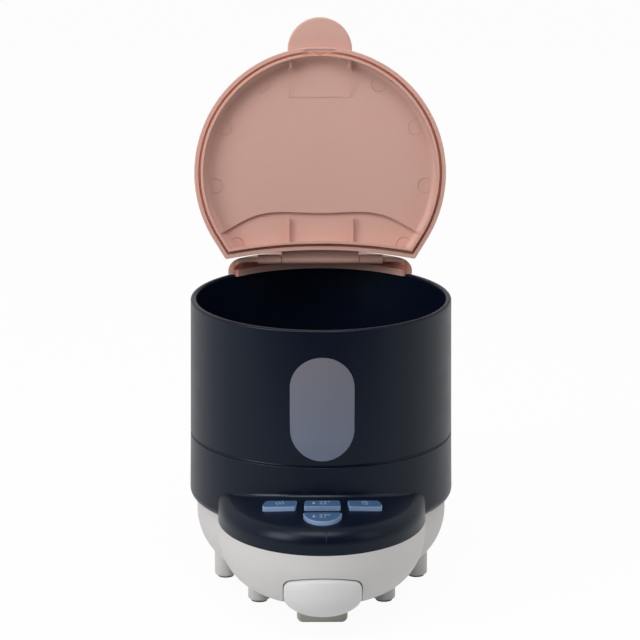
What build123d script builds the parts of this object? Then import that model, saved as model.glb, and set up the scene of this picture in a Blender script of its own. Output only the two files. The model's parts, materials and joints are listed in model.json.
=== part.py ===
"""Bottle warmer, steriliser and formula-water maker.

A round steam chamber with a split, hinged lid stands on a bowl-shaped base. The front of
the base grows a chin, capped by a console shelf with four keys, and a pebble-shaped cover
closes the water outlet in the chin.

All sizes are millimetres. Pieces are drawn about the chamber's axis, with +X to the
right, -Y to the front and +Z up from the table, and each is moved by BODY_OFFSET_Y when it
is written, so that the origin is under the middle of the whole appliance.
"""

import os
from math import cos, radians, sin, sqrt, tan

from build123d import *

# Chamber and housing
BODY_OFFSET_Y = 16.5     # chamber axis behind the origin
RIM_Z = 145.4            # top of the chamber's wall
SEAM_Z = 77.6            # groove between chamber shell and lower housing
SEAM_GAP = 1.2
PARTING_Z = 43.8         # navy housing above, pale casing below
RIM_R = 64.4             # outer radius at the rim
SEAM_R = 65.0            # outer radius at the seam
HOUSING_R = 65.4         # outer radius low on the housing
SHELL_WALL = 2.8
CHAMBER_FLOOR_Z = 64.0   # underside of the chamber's floor
FLOOR_THICK = 2.2
FLOOR_HOLE_R = 47.0
SPIGOT_R = 62.1          # chamber wall where it drops into the housing
LEDGE_R = 56.0           # ledge in the housing that carries the chamber
HOUSING_EDGE = 4.5       # rounding of the housing's lower edge

# Sight window
WINDOW_WIDE = 31.4
WINDOW_LOW_Z = 80.2
WINDOW_HIGH_Z = 132.3
WINDOW_REBATE = 1.5      # depth and width of the step that holds the pane
SEAL_THICK = 0.7

# Console shelf
CONSOLE_Y = -40.3        # centre of its elliptical outline
CONSOLE_A = 50.8         # half width
CONSOLE_B = 58.2         # half depth
CONSOLE_TOP_Z = 62.8     # height where the shelf leaves the housing
CONSOLE_SLOPE = 13.0     # degrees, falling to the front
CROWN_R = 125.0          # arch of the shelf from side to side
CONSOLE_EDGE = 8.0       # rounding of the shelf's edge
CASE_WALL = 2.4
CONSOLE_ROOM_Z = 61.0    # ceiling of the room behind the shelf, below the chamber's ledge

# Keys, set round the chamber's axis and pressed straight down
KEY_PROUD = 2.0
KEY_GAP = 0.35
KEY_TRAVEL = 0.8
KEY_EDGE = 0.5
KEY_FLANGE = 1.0         # width and thickness of the flange behind the shelf
KEY_PLAY = 0.3
KEY_STEM_R = 1.6
KEY_SPARE = 0.1          # left over the switch with the key pressed
KEY_BACK_R = 72.2        # inner and outer edge of the key row
KEY_FRONT_R = 78.0
KEY_CORNER = 0.9
KEY_END_CORNER = 2.0     # at the outer ends of the row
KEY_ANGLES = {           # both ends of each key, in degrees from the front
    "button_left": (-22.2, -9.6),
    "button_centre": (-6.55, 6.55),
    "button_right": (9.6, 22.2),
}
START_KEY = "button_start"
START_KEY_R = 9.35       # half-round key in front of the row
START_KEY_Y = -82.15     # centre of its round edge
START_KEY_BACK_R = 82.95 # its back edge, about the chamber's axis
KEYS = (*KEY_ANGLES, START_KEY)
KEY_BOARD_Z = 48.6       # top of the key board
KEY_BOARD_THICK = 1.2
KEY_BOARD_SIZE = (76.0, 24.0)
KEY_BOARD_Y = -79.0
KEY_PEGS = ((34.0, -68.0), (30.0, -80.0))    # mirrored to the other side
KEY_PEG_R = 1.8
SWITCH_WIDE = 6.0
SWITCH_HIGH = 3.6        # with its plunger pressed
PLUNGER_R = 1.7
PLUNGER_HIGH = 0.6

# Bowl and chin of the base casing
BOWL_FLAT_R = 34.0
BOWL_Z = 8.0
BOWL_R = 62.0
BOWL_WAIST_Z = 37.0
CHIN_FLAT_R = 28.0
CHIN_Z = 11.0
CHIN_WAIST_Z = 38.0
FOOT_R = 5.5
FOOT_LOW_Z = 0.9
FOOT_TOP_Z = 18.0
FOOT_EDGE = 1.2
FOOT_CIRCLE_R = 48.0
FOOT_ANGLES = (40, 90, 140, 220, 270, 320)   # degrees round from the front
PAD_R = 4.0
PAD_THICK = 1.6
COVER_R = 30.0           # bottom cover
COVER_THICK = 2.0
COVER_PLAY = 0.2
COVER_LAP = 3.0          # ledge that carries the cover's rim
NOTCH_HALF = 19.2        # opening in the chin for the spout cover
NOTCH_TOP_Z = 32.3
NOTCH_SHOULDER_Z = 29.3
POCKET_BACK_Y = -75.0
POCKET_WALL = 1.8
POCKET_SINK = 0.6        # pocket's rim behind the chin's face
FRONT_FOOT_HALF = 12.3
FRONT_FOOT_Y = -71.0

# Spout cover
PEBBLE_GAP = 0.5
PEBBLE_LOW_Z = 12.0
PEBBLE_SIDE_Z = 21.0
PEBBLE_FRONT_Y = -101.4
PEBBLE_PLAN_R = 28.0     # bulge seen from above
PEBBLE_PROFILE = ((7.5, 10.5), (0.0, 22.5), (3.6, 33.0))   # setback and height, bottom to top
PEBBLE_EDGE = 3.0

# Lid, drawn closed
LID_R = 63.3
SHOULDER_ANGLE = 122.0   # from the front to where the round outline runs out straight
SHOULDER_Y = 60.0        # reach of the straight shoulders before the back is cut
DOME_R = 1300.0          # roundness of the top
LID_LOW_Z = 145.7        # underside of the band, just above the rim
LID_EDGE = 7.5           # rounding from the band to the top
LID_TOP_Z = 155.8        # height in the middle
LID_INNER_EDGE = 3.0     # rounding under the skin
LID_THICK = 2.8
BAND_IN = 2.1            # insets of the band's inner side and of the inner ring
RING_OUT = 3.2
RING_IN = 4.5
RING_LOW_Z = 144.2
LIP_EDGE = 0.35          # rounding of the band's and ring's lips
GROOVE_TOP_Z = 148.3
BACK_R = 260.0           # hollow curve of the lifting part's back edge
BACK_Y = 38.8            # where that curve crosses the middle
BACK_CORNER = 1.2
WING_OUTLINE = ((-60, 34), (-48.8, 29.7), (-34, 22), (0, 20.3), (34, 22), (48.8, 29.7), (60, 34))
WING_SKIN = 1.2          # what is left of the skin in the thinned wings
TAB_R = 16.2
TAB_Y = -62.1
TAB_THICK = 2.4
TAB_DROP = 2.2           # from the lid's top to the tab's top
TAB_EDGE = 0.9
LID_OPEN = 102.0         # degrees

# Fixed rear segment of the lid
REAR_GAP = 1.3           # from the lifting part's back edge
REAR_R = 64.2
REAR_THICK = 2.3
REAR_CLIP_OUT_R = 61.3   # clip that drops inside the rim
REAR_CLIP_IN_R = 60.0
REAR_CLIP_Z = 144.4

# Lid hinge
HINGE_Y = 43.6
HINGE_Z = 153.35
PIN_R = 1.1
PIN_PLAY = 0.05
PIN_END = 1.5            # outer knuckle left closed at the pin's end
KNUCKLE_R = 2.4
KNUCKLE_IN = 19.5        # lid knuckle inside this half length
KNUCKLE_OUT = 31.5
KNUCKLE_GAP = 0.35
WEB_LOW = 1.9            # web from lid to knuckle, below and above the hinge axis
WEB_HIGH = 1.0

# Inside of the chamber and base
PLATE_R = 51.0
PLATE_THICK = 0.8
SEAL_HIGH = 1.0
PLATE_DISH_Z = 62.4
HEATER_R = 32.0
HEATER_WIDE = 7.0
HEATER_HIGH = 6.0
STRAP_THICK = 1.5
STRAP_WIDE = 14.0
STRAP_REACH = 47.5
GRID_R = 57.0
GRID_Z = 68.0
GRID_THICK = 2.0
BOARD_Z = 24.0
BOARD_THICK = 1.6
BOARD_HALF = (32.0, 26.0)
BOARD_POSTS = [(x, y) for x in (-27, 27) for y in (-21, 21)]
NOZZLE_Y = -80.5
NOZZLE_R = 3.2
NOZZLE_TOP_Z = 37.3
DRAIN_Y = -51.5
GLAND_Z = 24.0
GLAND_R = 5.0
GLAND_IN_Y = 46.0
GLAND_OUT_Y = 66.0
LEAD_R = 3.2


def turned(points):
    """Solid turned about Z from (radius, height) corners."""
    return revolve(Plane.XZ * make_face(Polyline(*points, close=True)), Axis.Z)


def tube(outer, inner, low, high):
    """Upright ring between two heights."""
    return turned([(inner, low), (outer, low), (outer, high), (inner, high)])


def block(x_range, y_range, z_range):
    """Box between two corners."""
    sizes = [high - low for low, high in (x_range, y_range, z_range)]
    return Pos(x_range[0], y_range[0], z_range[0]) * Box(*sizes, align=Align.MIN)


def post(radius, x, y, low, high):
    """Upright round bar."""
    return Pos(x, y, low) * Cylinder(radius, high - low, align=(Align.CENTER, Align.CENTER, Align.MIN))


def bar_x(radius, x_range, y, z):
    """Round bar lying along X."""
    middle = Plane(origin=(sum(x_range) / 2, y, z), z_dir=(1, 0, 0))
    return middle * Cylinder(radius, x_range[1] - x_range[0])


def around(radius, angle):
    """Point on a circle, with the angle counted from the front."""
    return radius * sin(radians(angle)), -radius * cos(radians(angle))


# ---------------------------------------------------------------- chamber

def window_slot(margin):
    """Stadium-shaped bar through the front wall, drawn in by margin."""
    wide = WINDOW_WIDE - 2 * margin
    high = WINDOW_HIGH_Z - WINDOW_LOW_Z - 2 * margin
    middle = Plane(origin=(0, 0, (WINDOW_LOW_Z + WINDOW_HIGH_Z) / 2), x_dir=(0, 0, 1), z_dir=(0, -1, 0))
    return middle * extrude(SlotOverall(high, wide), RIM_R + 5)


def chamber_shell():
    low = SEAM_Z + SEAM_GAP / 2
    inner_low = SPIGOT_R - 2.0
    wall = turned([
        (RIM_R - SHELL_WALL, RIM_Z), (RIM_R, RIM_Z), (SEAM_R, low), (SPIGOT_R, low),
        (SPIGOT_R, CHAMBER_FLOOR_Z), (FLOOR_HOLE_R, CHAMBER_FLOOR_Z),
        (FLOOR_HOLE_R, CHAMBER_FLOOR_Z + FLOOR_THICK), (inner_low, CHAMBER_FLOOR_Z + FLOOR_THICK)])
    rim = wall.edges().filter_by(GeomType.CIRCLE).group_by(Axis.Z)[-1]
    wall = fillet(rim, 1.1)
    rebate_in_r = RIM_R - WINDOW_REBATE
    rebate = window_slot(0) - Cylinder(rebate_in_r, 3 * RIM_Z)
    return wall - rebate - window_slot(WINDOW_REBATE)


def window_pane():
    face = window_slot(0.15) & tube(SEAM_R - 0.35, RIM_R - WINDOW_REBATE, SEAM_Z, RIM_Z)
    plug = window_slot(WINDOW_REBATE + SEAL_THICK) & tube(RIM_R - 1, RIM_R - SHELL_WALL - 0.2, SEAM_Z, RIM_Z)
    return face + plug


def window_seal():
    ring = window_slot(WINDOW_REBATE) - window_slot(WINDOW_REBATE + SEAL_THICK)
    return ring & tube(RIM_R - WINDOW_REBATE, RIM_R - SHELL_WALL - 0.2, SEAM_Z, RIM_Z)


# ---------------------------------------------------------------- console and housing

def console_block(inset):
    """Console shelf as a solid, drawn in by inset everywhere but its foot."""
    outline = Pos(0, CONSOLE_Y, PARTING_Z) * Ellipse(CONSOLE_A - inset, CONSOLE_B - inset)
    slope = radians(CONSOLE_SLOPE)
    crown_axis = Plane(
        origin=(0, -HOUSING_R + CROWN_R * sin(slope), CONSOLE_TOP_Z - CROWN_R * cos(slope)),
        x_dir=(1, 0, 0), z_dir=(0, cos(slope), sin(slope)))
    crown = crown_axis * Cylinder(CROWN_R - inset, 6 * CONSOLE_B)
    shelf = extrude(outline, 2 * (SEAM_Z - PARTING_Z)) & crown
    top = shelf.faces().sort_by(Axis.Z)[-1]
    shelf = fillet(top.edges(), CONSOLE_EDGE - inset)
    return shelf & block((-90, 90), (-120, 90), (0, SEAM_Z - SEAM_GAP))


def upright(outline, low, high):
    """Outline seen from above, drawn between two heights."""
    return Pos(0, 0, low) * extrude(outline, high - low)


def key_outline(name):
    """Outline of one key, seen from above."""
    if name == START_KEY:
        face = Pos(0, START_KEY_Y) * Circle(START_KEY_R) - Circle(START_KEY_BACK_R)
        return fillet(face.vertices(), KEY_CORNER)
    low, high = KEY_ANGLES[name]
    middle = (low + high) / 2
    back = [around(KEY_BACK_R, angle) for angle in (low, middle, high)]
    front = [around(KEY_FRONT_R, angle) for angle in (high, middle, low)]
    ends = [Line(back[-1], front[0]), Line(front[-1], back[0])]
    face = make_face([ThreePointArc(*back), ThreePointArc(*front), *ends])
    if middle == 0:
        return fillet(face.vertices(), KEY_CORNER)
    corners = face.vertices().sort_by(Axis.X, reverse=middle > 0)
    face = fillet(corners[:2], KEY_END_CORNER)
    corners = face.vertices().sort_by(Axis.X, reverse=middle < 0)
    return fillet(corners[:2], KEY_CORNER)


def under_key(name, radius, low, high):
    """Upright round bar under the middle of one key."""
    centre = key_outline(name).center()
    return post(radius, centre.X, centre.Y, low, high)


def key(name):
    """One key cap: a crowned top, a flange behind the shelf and a stem to its switch."""
    outline = key_outline(name)
    back = CASE_WALL + KEY_FLANGE + KEY_PLAY
    hollow = console_block(back)
    cap = (upright(outline, KEY_BOARD_Z, SEAM_Z) & console_block(-KEY_PROUD)) - hollow
    cap = fillet(cap.faces().sort_by(Axis.Z)[-1].edges(), KEY_EDGE)
    behind_shelf = console_block(CASE_WALL + KEY_PLAY) - hollow
    flange = upright(offset(outline, KEY_FLANGE), KEY_BOARD_Z, SEAM_Z) & behind_shelf
    stem_low = KEY_BOARD_Z + SWITCH_HIGH + KEY_TRAVEL + KEY_SPARE
    stem = under_key(name, KEY_STEM_R, stem_low, SEAM_Z) & console_block(back - KEY_FLANGE / 2)
    return cap + flange + stem


def lower_housing():
    top = SEAM_Z - SEAM_GAP / 2
    edge = HOUSING_EDGE
    arc_mid = edge * (1 - cos(radians(45)))
    line = Polyline((0, PARTING_Z), (HOUSING_R - edge, PARTING_Z))
    arc = ThreePointArc(
        (HOUSING_R - edge, PARTING_Z), (HOUSING_R - arc_mid, PARTING_Z + arc_mid),
        (HOUSING_R, PARTING_Z + edge))
    rest = Polyline((HOUSING_R, PARTING_Z + edge), (SEAM_R, top), (0, top), (0, PARTING_Z))
    drum = revolve(Plane.XZ * make_face([line, arc, rest]), Axis.Z)
    drum = fillet(drum.edges().filter_by(GeomType.CIRCLE).group_by(Axis.Z)[-1], 0.5)
    inner_r = SPIGOT_R + 0.3
    bore = turned([
        (0, PARTING_Z - 1), (HOUSING_R - edge - 3.4, PARTING_Z - 1),
        (HOUSING_R - edge - 3.4, PARTING_Z + CASE_WALL), (HOUSING_R - edge - 1, PARTING_Z + CASE_WALL),
        (inner_r, PARTING_Z + edge), (inner_r, CHAMBER_FLOOR_Z - 2.5), (LEDGE_R, CHAMBER_FLOOR_Z - 2.5),
        (LEDGE_R, CHAMBER_FLOOR_Z), (inner_r, CHAMBER_FLOOR_Z), (inner_r, top + 1), (0, top + 1)])
    foot = Pos(0, CONSOLE_Y) * Ellipse(CONSOLE_A - CASE_WALL, CONSOLE_B - CASE_WALL)
    shelf_room = console_block(CASE_WALL) & block((-90, 90), (-120, 90), (0, CONSOLE_ROOM_Z))
    shelf_room = shelf_room + upright(foot, PARTING_Z - 5, PARTING_Z + 1)
    body = drum + console_block(0) - bore - shelf_room
    for name in KEYS:
        body = body - upright(offset(key_outline(name), KEY_GAP), KEY_BOARD_Z, SEAM_Z)
    for x, y in KEY_PEGS:
        for side in (-1, 1):
            body = body + (post(KEY_PEG_R, side * x, y, KEY_BOARD_Z, CONSOLE_TOP_Z) & console_block(1.0))
    return body


# ---------------------------------------------------------------- base casing

def dish(flat_r, low, wide_r, waist, high):
    """Solid bowl: flat bottom, quarter ellipse up to its waist, upright above."""
    base = Polyline((0, high), (0, low), (flat_r, low))
    arc = EllipticalCenterArc((flat_r, waist), wide_r - flat_r, waist - low, start_angle=-90, arc_size=90)
    side = Polyline((wide_r, waist), (wide_r, high), (0, high))
    return revolve(Plane.XZ * make_face([base, arc, side]), Axis.Z)


def bowl(inset, high=PARTING_Z):
    return dish(BOWL_FLAT_R, BOWL_Z + inset, BOWL_R - inset, BOWL_WAIST_Z, high)


def chin(inset, high=PARTING_Z):
    """Chin under the console: a dish stretched to the console's ellipse."""
    round_chin = dish(CHIN_FLAT_R, CHIN_Z + inset, CONSOLE_A - inset, CHIN_WAIST_Z, high)
    stretch = (CONSOLE_B - inset) / (CONSOLE_A - inset)
    return Pos(0, CONSOLE_Y, 0) * scale(round_chin, by=(1, stretch, 1))


def arch_outline(half, shoulder_z, top_z, foot_z):
    """Inverted U with an arched top and rounded shoulders, in the XZ plane."""
    sides = Polyline((-half, shoulder_z), (-half, foot_z), (half, foot_z), (half, shoulder_z))
    arch = ThreePointArc((half, shoulder_z), (0, top_z), (-half, shoulder_z))
    face = make_face([sides, arch])
    return fillet(face.vertices().group_by(Axis.Y)[-1], 5.0)


def notch(grow):
    outline = arch_outline(NOTCH_HALF + grow, NOTCH_SHOULDER_Z + grow, NOTCH_TOP_Z + grow, -5)
    return Plane.XZ * extrude(outline, 110)


def base_casing():
    outer = bowl(0) + chin(0)
    room = bowl(CASE_WALL, PARTING_Z + 1) + chin(CASE_WALL, PARTING_Z + 1)
    body = outer - room
    feet = [post(FOOT_R, *around(FOOT_CIRCLE_R, a), FOOT_LOW_Z, FOOT_TOP_Z) for a in FOOT_ANGLES]
    for foot in feet:
        foot = fillet(foot.edges().group_by(Axis.Z)[0], FOOT_EDGE)
        body = body + (foot - bowl(CASE_WALL))
    pocket_back = POCKET_BACK_Y + POCKET_WALL
    front_only = block((-40, 40), (-110, pocket_back), (0, 50))
    hood = notch(POCKET_WALL) & chin(POCKET_SINK)
    pocket = (hood - notch(0)) & front_only
    pocket = pocket + (hood & block((-40, 40), (POCKET_BACK_Y, pocket_back), (0, 50)))
    body = body - (notch(0) & front_only) + pocket
    for pad in foot_pads():
        body = body - pad
    cover_seat = post(COVER_R + COVER_PLAY, 0, 0, 0, BOWL_Z + COVER_THICK / 2)
    cover_hole = post(COVER_R - COVER_LAP, 0, 0, 0, BOWL_Z + 2 * CASE_WALL)
    nozzle_hole = post(NOZZLE_R, 0, NOZZLE_Y, NOTCH_TOP_Z - 3, NOZZLE_TOP_Z)
    return body - cover_seat - cover_hole - nozzle_hole - lead_bar(GLAND_R, GLAND_IN_Y, GLAND_OUT_Y)


def foot_pads():
    return Compound([post(PAD_R, *around(FOOT_CIRCLE_R, a), 0, PAD_THICK) for a in FOOT_ANGLES])


def front_foot():
    foot = block((-FRONT_FOOT_HALF, FRONT_FOOT_HALF), (FRONT_FOOT_Y, FRONT_FOOT_Y + 17), (0, CHIN_Z))
    lower = foot.edges().filter_by(Axis.Y).group_by(Axis.Z)[0]
    foot = fillet(lower, 3.0)
    uprights = foot.edges().filter_by(Axis.Z).group_by(Axis.Y)[0]
    return fillet(uprights, 2.0)


def pebble_barrel():
    """Barrel whose side is the pebble's front, bulging in plan and in profile."""
    low, middle, high = [(PEBBLE_PLAN_R - back, z) for back, z in PEBBLE_PROFILE]
    side = ThreePointArc(low, middle, high)
    rest = Polyline(high, (0, high[1]), (0, low[1]), low)
    return Pos(0, PEBBLE_FRONT_Y + PEBBLE_PLAN_R, 0) * revolve(Plane.XZ * make_face([side, rest]), Axis.Z)


def pebble_outline(inset):
    """Arched top, straight sides and half-elliptical bottom, in the XZ plane."""
    half = NOTCH_HALF - PEBBLE_GAP - inset
    shoulder = NOTCH_SHOULDER_Z - PEBBLE_GAP - inset
    arch = ThreePointArc((half, shoulder), (0, NOTCH_TOP_Z - PEBBLE_GAP - inset), (-half, shoulder))
    left = Line((-half, shoulder), (-half, PEBBLE_SIDE_Z))
    bottom = EllipticalCenterArc(
        (0, PEBBLE_SIDE_Z), half, PEBBLE_SIDE_Z - PEBBLE_LOW_Z - inset, start_angle=180, arc_size=180)
    right = Line((half, PEBBLE_SIDE_Z), (half, shoulder))
    face = make_face([arch, left, bottom, right])
    return fillet(face.vertices().group_by(Axis.Y)[-1], 5.0 - inset)


def spout_cover():
    """Pebble-shaped cover, hollow behind, with two clip arms."""
    body = Pos(0, -86, 0) * (Plane.XZ * extrude(pebble_outline(0), 30)) & pebble_barrel()
    body = fillet(body.faces().sort_by(Axis.Y)[0].edges(), PEBBLE_EDGE)
    hollow = Pos(0, -80, 0) * (Plane.XZ * extrude(pebble_outline(CASE_WALL), 13.5))
    body = body - hollow
    reach = NOTCH_HALF - PEBBLE_GAP - CASE_WALL
    for x in (-reach, reach - 2):
        body = body + block((x, x + 2), (-87, -79), (17, 25))
    return body


# ---------------------------------------------------------------- lid, drawn closed

def lid_plan(inset):
    """Round outline that runs out in straight shoulders, before its back is cut."""
    radius = LID_R - inset
    near_x, near_y = around(radius, SHOULDER_ANGLE)
    slope = 1 / tan(radians(SHOULDER_ANGLE))
    far_x = near_x + (SHOULDER_Y - near_y) * slope
    front = ThreePointArc((-near_x, near_y), (0, -radius), (near_x, near_y))
    rest = Polyline((near_x, near_y), (far_x, SHOULDER_Y), (-far_x, SHOULDER_Y), (-near_x, near_y))
    return make_face([front, rest])


def behind_lid(grow):
    """Upright round bar behind the lifting part, whose near side is the hollow back edge."""
    return Pos(0, BACK_Y + BACK_R, 0) * Cylinder(BACK_R + grow, 3 * RIM_Z)


def lid_wall(inset, low, high):
    """Outline of the lifting part, drawn in by inset, as an upright solid."""
    wall = upright(lid_plan(inset), low, high) - behind_lid(inset)
    return fillet(wall.faces().sort_by(Axis.Z)[0].edges(), LIP_EDGE)


def lid_drum(inset, low, skin, edge):
    """Lifting part drawn in by inset, from a height up to skin below its domed top."""
    dome = Pos(0, 0, LID_TOP_Z - skin - DOME_R) * Sphere(DOME_R)
    drum = upright(lid_plan(inset), low, LID_TOP_Z + 1) & dome
    top = drum.faces().sort_by(Axis.Z)[-1]
    drum = fillet(top.edges().sort_by(Axis.Y)[:-1], edge)
    return drum - behind_lid(inset)


def lid_groove():
    """Groove between the band and the inner ring, all the way round."""
    low = RING_LOW_Z - 1
    outer = upright(lid_plan(BAND_IN), low, GROOVE_TOP_Z) - behind_lid(BAND_IN)
    inner = upright(lid_plan(RING_OUT), low, GROOVE_TOP_Z) - behind_lid(RING_OUT)
    return outer - inner


def lid_pocket():
    """Hollow under the skin: the room inside the ring and the thinned wings at the back."""
    low = RING_LOW_Z - 1
    room = lid_drum(RING_IN, low, LID_THICK, LID_INNER_EDGE)
    edge = Spline(*WING_OUTLINE)
    start, end = WING_OUTLINE[0], WING_OUTLINE[-1]
    rest = Polyline(end, (end[0], SHOULDER_Y), (start[0], SHOULDER_Y), start)
    wings = upright(make_face([edge, rest]), low, LID_TOP_Z)
    return room + (wings & lid_drum(RING_IN, low, WING_SKIN, LID_INNER_EDGE))


def lid_tab():
    """Half-round finger tab outside the lid's wall."""
    tab = upright(Pos(0, TAB_Y) * Circle(TAB_R), LID_TOP_Z - TAB_DROP - TAB_THICK, LID_TOP_Z - TAB_DROP)
    return fillet(tab.edges(), TAB_EDGE) - Cylinder(LID_R - RING_OUT, 3 * RIM_Z)


def lid_ribs():
    """Short ribs under the skin: two behind the tab and two at the wings."""
    low = LID_TOP_Z - LID_THICK
    front = [block((x - 0.4, x + 0.4), (-58.5, -52.5), (low - 5.5, low + 1)) for x in (-14.6, 14.6)]
    back = [block((x - 0.6, x + 0.6), (23, BACK_Y - 3), (low - 1.5, low + 1.6)) for x in (-16.1, 16.1)]
    return front + back


def lid_closed():
    """Lifting part of the lid in its closed place."""
    body = lid_drum(0, LID_LOW_Z, 0, LID_EDGE)
    corners = body.edges().filter_by(Axis.Z).sort_by(Axis.Y)[-2:]
    body = fillet(corners, BACK_CORNER)
    body = fillet(body.faces().sort_by(Axis.Z)[0].edges(), LIP_EDGE)
    cap = body + lid_wall(RING_OUT, RING_LOW_Z, LID_LOW_Z + 2) - lid_groove() - lid_pocket()
    catch = block((-5.8, 5.8), (-61.5, -59.0), (RING_LOW_Z + 2, LID_TOP_Z - 3))
    bridge = block((-15.5, 15.5), (-62.4, -60.0), (LID_LOW_Z + 0.6, GROOVE_TOP_Z + 0.5))
    cap = cap + (bridge & body) + catch + lid_tab()
    cap = cap - block((-7.8, 7.8), (-62, -50), (RING_LOW_Z - 1, RING_LOW_Z + 2))
    for rib in lid_ribs():
        cap = cap + rib
    web = block(
        (-KNUCKLE_IN, KNUCKLE_IN), (BACK_Y - 1, HINGE_Y), (HINGE_Z - WEB_LOW, HINGE_Z + WEB_HIGH))
    cap = cap + web + bar_x(KNUCKLE_R, (-KNUCKLE_IN, KNUCKLE_IN), HINGE_Y, HINGE_Z)
    for side in (-1, 1):
        ends = sorted((side * (KNUCKLE_IN + 0.01), side * (KNUCKLE_OUT + KNUCKLE_GAP)))
        cap = cap - knuckle_room(ends)
    return cap - bar_x(PIN_R + PIN_PLAY, (-KNUCKLE_IN - 1, KNUCKLE_IN + 1), HINGE_Y, HINGE_Z)


def knuckle_room(x_range):
    """Space swept by the other leaf's knuckle."""
    return bar_x(KNUCKLE_R + KNUCKLE_GAP, x_range, HINGE_Y, HINGE_Z)


def lid_front():
    """Lifting part of the lid, standing open."""
    hinge = Axis((0, HINGE_Y, HINGE_Z), (1, 0, 0))
    return lid_closed().rotate(hinge, -LID_OPEN)


def rear_drum(inset, low):
    """Round drum the rear segment is cut from, drawn in by inset."""
    drum = post(REAR_R - inset, 0, 0, low, LID_TOP_Z + 1)
    drum = drum & (Pos(0, 0, LID_TOP_Z - inset - DOME_R) * Sphere(DOME_R))
    return fillet(drum.faces().sort_by(Axis.Z)[-1].edges(), LID_EDGE - inset)


def lid_rear():
    """Fixed rear segment, clipped on the rim, with the outer knuckles."""
    segment = rear_drum(0, RIM_Z) - rear_drum(REAR_THICK, RIM_Z - 1)
    segment = segment + tube(REAR_R - 1, REAR_CLIP_IN_R, RIM_Z, RIM_Z + REAR_THICK)
    segment = segment + tube(REAR_CLIP_OUT_R, REAR_CLIP_IN_R, REAR_CLIP_Z, RIM_Z + 1)
    segment = segment & behind_lid(-REAR_GAP)
    reach = KNUCKLE_IN + KNUCKLE_GAP
    web_room = block((-reach, reach), (BACK_Y, HINGE_Y), (HINGE_Z - WEB_LOW - REAR_GAP / 2, LID_TOP_Z + 1))
    segment = segment - web_room - knuckle_room((-reach, reach))
    for side in (-1, 1):
        ends = sorted((side * reach, side * KNUCKLE_OUT))
        segment = segment + bar_x(KNUCKLE_R, ends, HINGE_Y, HINGE_Z)
    return segment - lid_hinge_pin()


def lid_hinge_pin():
    half = KNUCKLE_OUT - PIN_END
    return bar_x(PIN_R, (-half, half), HINGE_Y, HINGE_Z)


# ---------------------------------------------------------------- heating and electrics

def heating_plate():
    """Shallow metal dish with a flange, the chamber's floor."""
    low = PLATE_DISH_Z
    flange = CHAMBER_FLOOR_Z + FLOOR_THICK + SEAL_HIGH
    return turned([
        (0, low), (43, low), (45, low + 1), (45.6, flange), (PLATE_R, flange),
        (PLATE_R, flange + PLATE_THICK), (44.9, flange + PLATE_THICK), (44.2, low + 1.6),
        (42.6, low + PLATE_THICK), (0, low + PLATE_THICK)])


def plate_seal():
    low = CHAMBER_FLOOR_Z + FLOOR_THICK
    return tube(PLATE_R, FLOOR_HOLE_R, low, low + SEAL_HIGH)


def heater_element():
    """Horseshoe-shaped heating tube with two terminal legs."""
    section = Plane.XZ * Pos(HEATER_R, PLATE_DISH_Z - HEATER_HIGH / 2) * RectangleRounded(
        HEATER_WIDE, HEATER_HIGH, 2.0)
    ring = Rot(0, 0, 20) * revolve(section, Axis.Z, 320)
    heights = (PLATE_DISH_Z - 16, PLATE_DISH_Z - HEATER_HIGH + 1)
    legs = [post(1.8, *around(HEATER_R, angle), *heights) for angle in (66, 114)]
    return ring + legs


def heater_strap():
    """Strap that presses the heater against the plate, with feet on the chamber's floor."""
    low = PLATE_DISH_Z - HEATER_HIGH - STRAP_THICK
    half = STRAP_WIDE / 2
    bar = block((-STRAP_REACH, STRAP_REACH), (-half, half), (low, low + STRAP_THICK))
    parts = []
    for side in (-1, 1):
        leg = sorted((side * STRAP_REACH, side * (STRAP_REACH - STRAP_THICK)))
        foot = sorted((side * (STRAP_REACH - STRAP_THICK), side * (STRAP_REACH + 7.5)))
        parts.append(block(leg, (-half, half), (low, CHAMBER_FLOOR_Z)))
        parts.append(block(foot, (-half, half), (CHAMBER_FLOOR_Z - STRAP_THICK, CHAMBER_FLOOR_Z)))
    return bar + parts


def strap_screws():
    screws = []
    for side in (-1, 1):
        head = post(2.8, side * 51, 0, CHAMBER_FLOOR_Z - STRAP_THICK - 2, CHAMBER_FLOOR_Z - STRAP_THICK)
        screws.append(head)
    return Compound(screws)


def thermostat():
    low = PLATE_DISH_Z - HEATER_HIGH - STRAP_THICK
    can = post(8, 0, 0, low - 6, low)
    tabs = [block((x - 3, x + 3), (-0.4, 0.4), (low - 13, low - 6)) for x in (-4.5, 4.5)]
    return can + tabs


def thermal_fuse():
    low = PLATE_DISH_Z - HEATER_HIGH - STRAP_THICK
    body = bar_x(2.1, (16.5, 27.5), 0, low - 2.6)
    saddle = block((18, 26), (-3, 3), (low - 1.4, low))
    return body + saddle


def steam_grid():
    """Lift-out grid: a ring with radial spokes, two inner hoops and four short legs."""
    top = GRID_Z + GRID_THICK
    grid = tube(GRID_R, GRID_R - 2.5, GRID_Z, top) + tube(36, 34, GRID_Z, top) + tube(18, 10, GRID_Z, top)
    spoke = block((-GRID_R + 1, -17), (-1.1, 1.1), (GRID_Z, top))
    for count in range(12):
        grid = grid + Rot(0, 0, 30 * count) * spoke
    rest = CHAMBER_FLOOR_Z + FLOOR_THICK
    for angle in (45, 135, 225, 315):
        grid = grid + post(2.0, *around(GRID_R - 2.4, angle), rest + 0.05, GRID_Z + 0.5)
    return grid


def spout_nozzle():
    """Water outlet that hangs from the pocket's ceiling."""
    ceiling = NOTCH_TOP_Z - 0.15
    nozzle = post(4.5, 0, NOZZLE_Y, ceiling - 9, ceiling)
    nozzle = nozzle + post(NOZZLE_R, 0, NOZZLE_Y, ceiling - 1, NOZZLE_TOP_Z)
    return nozzle - post(1.8, 0, NOZZLE_Y, ceiling - 12, ceiling + 10)


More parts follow.
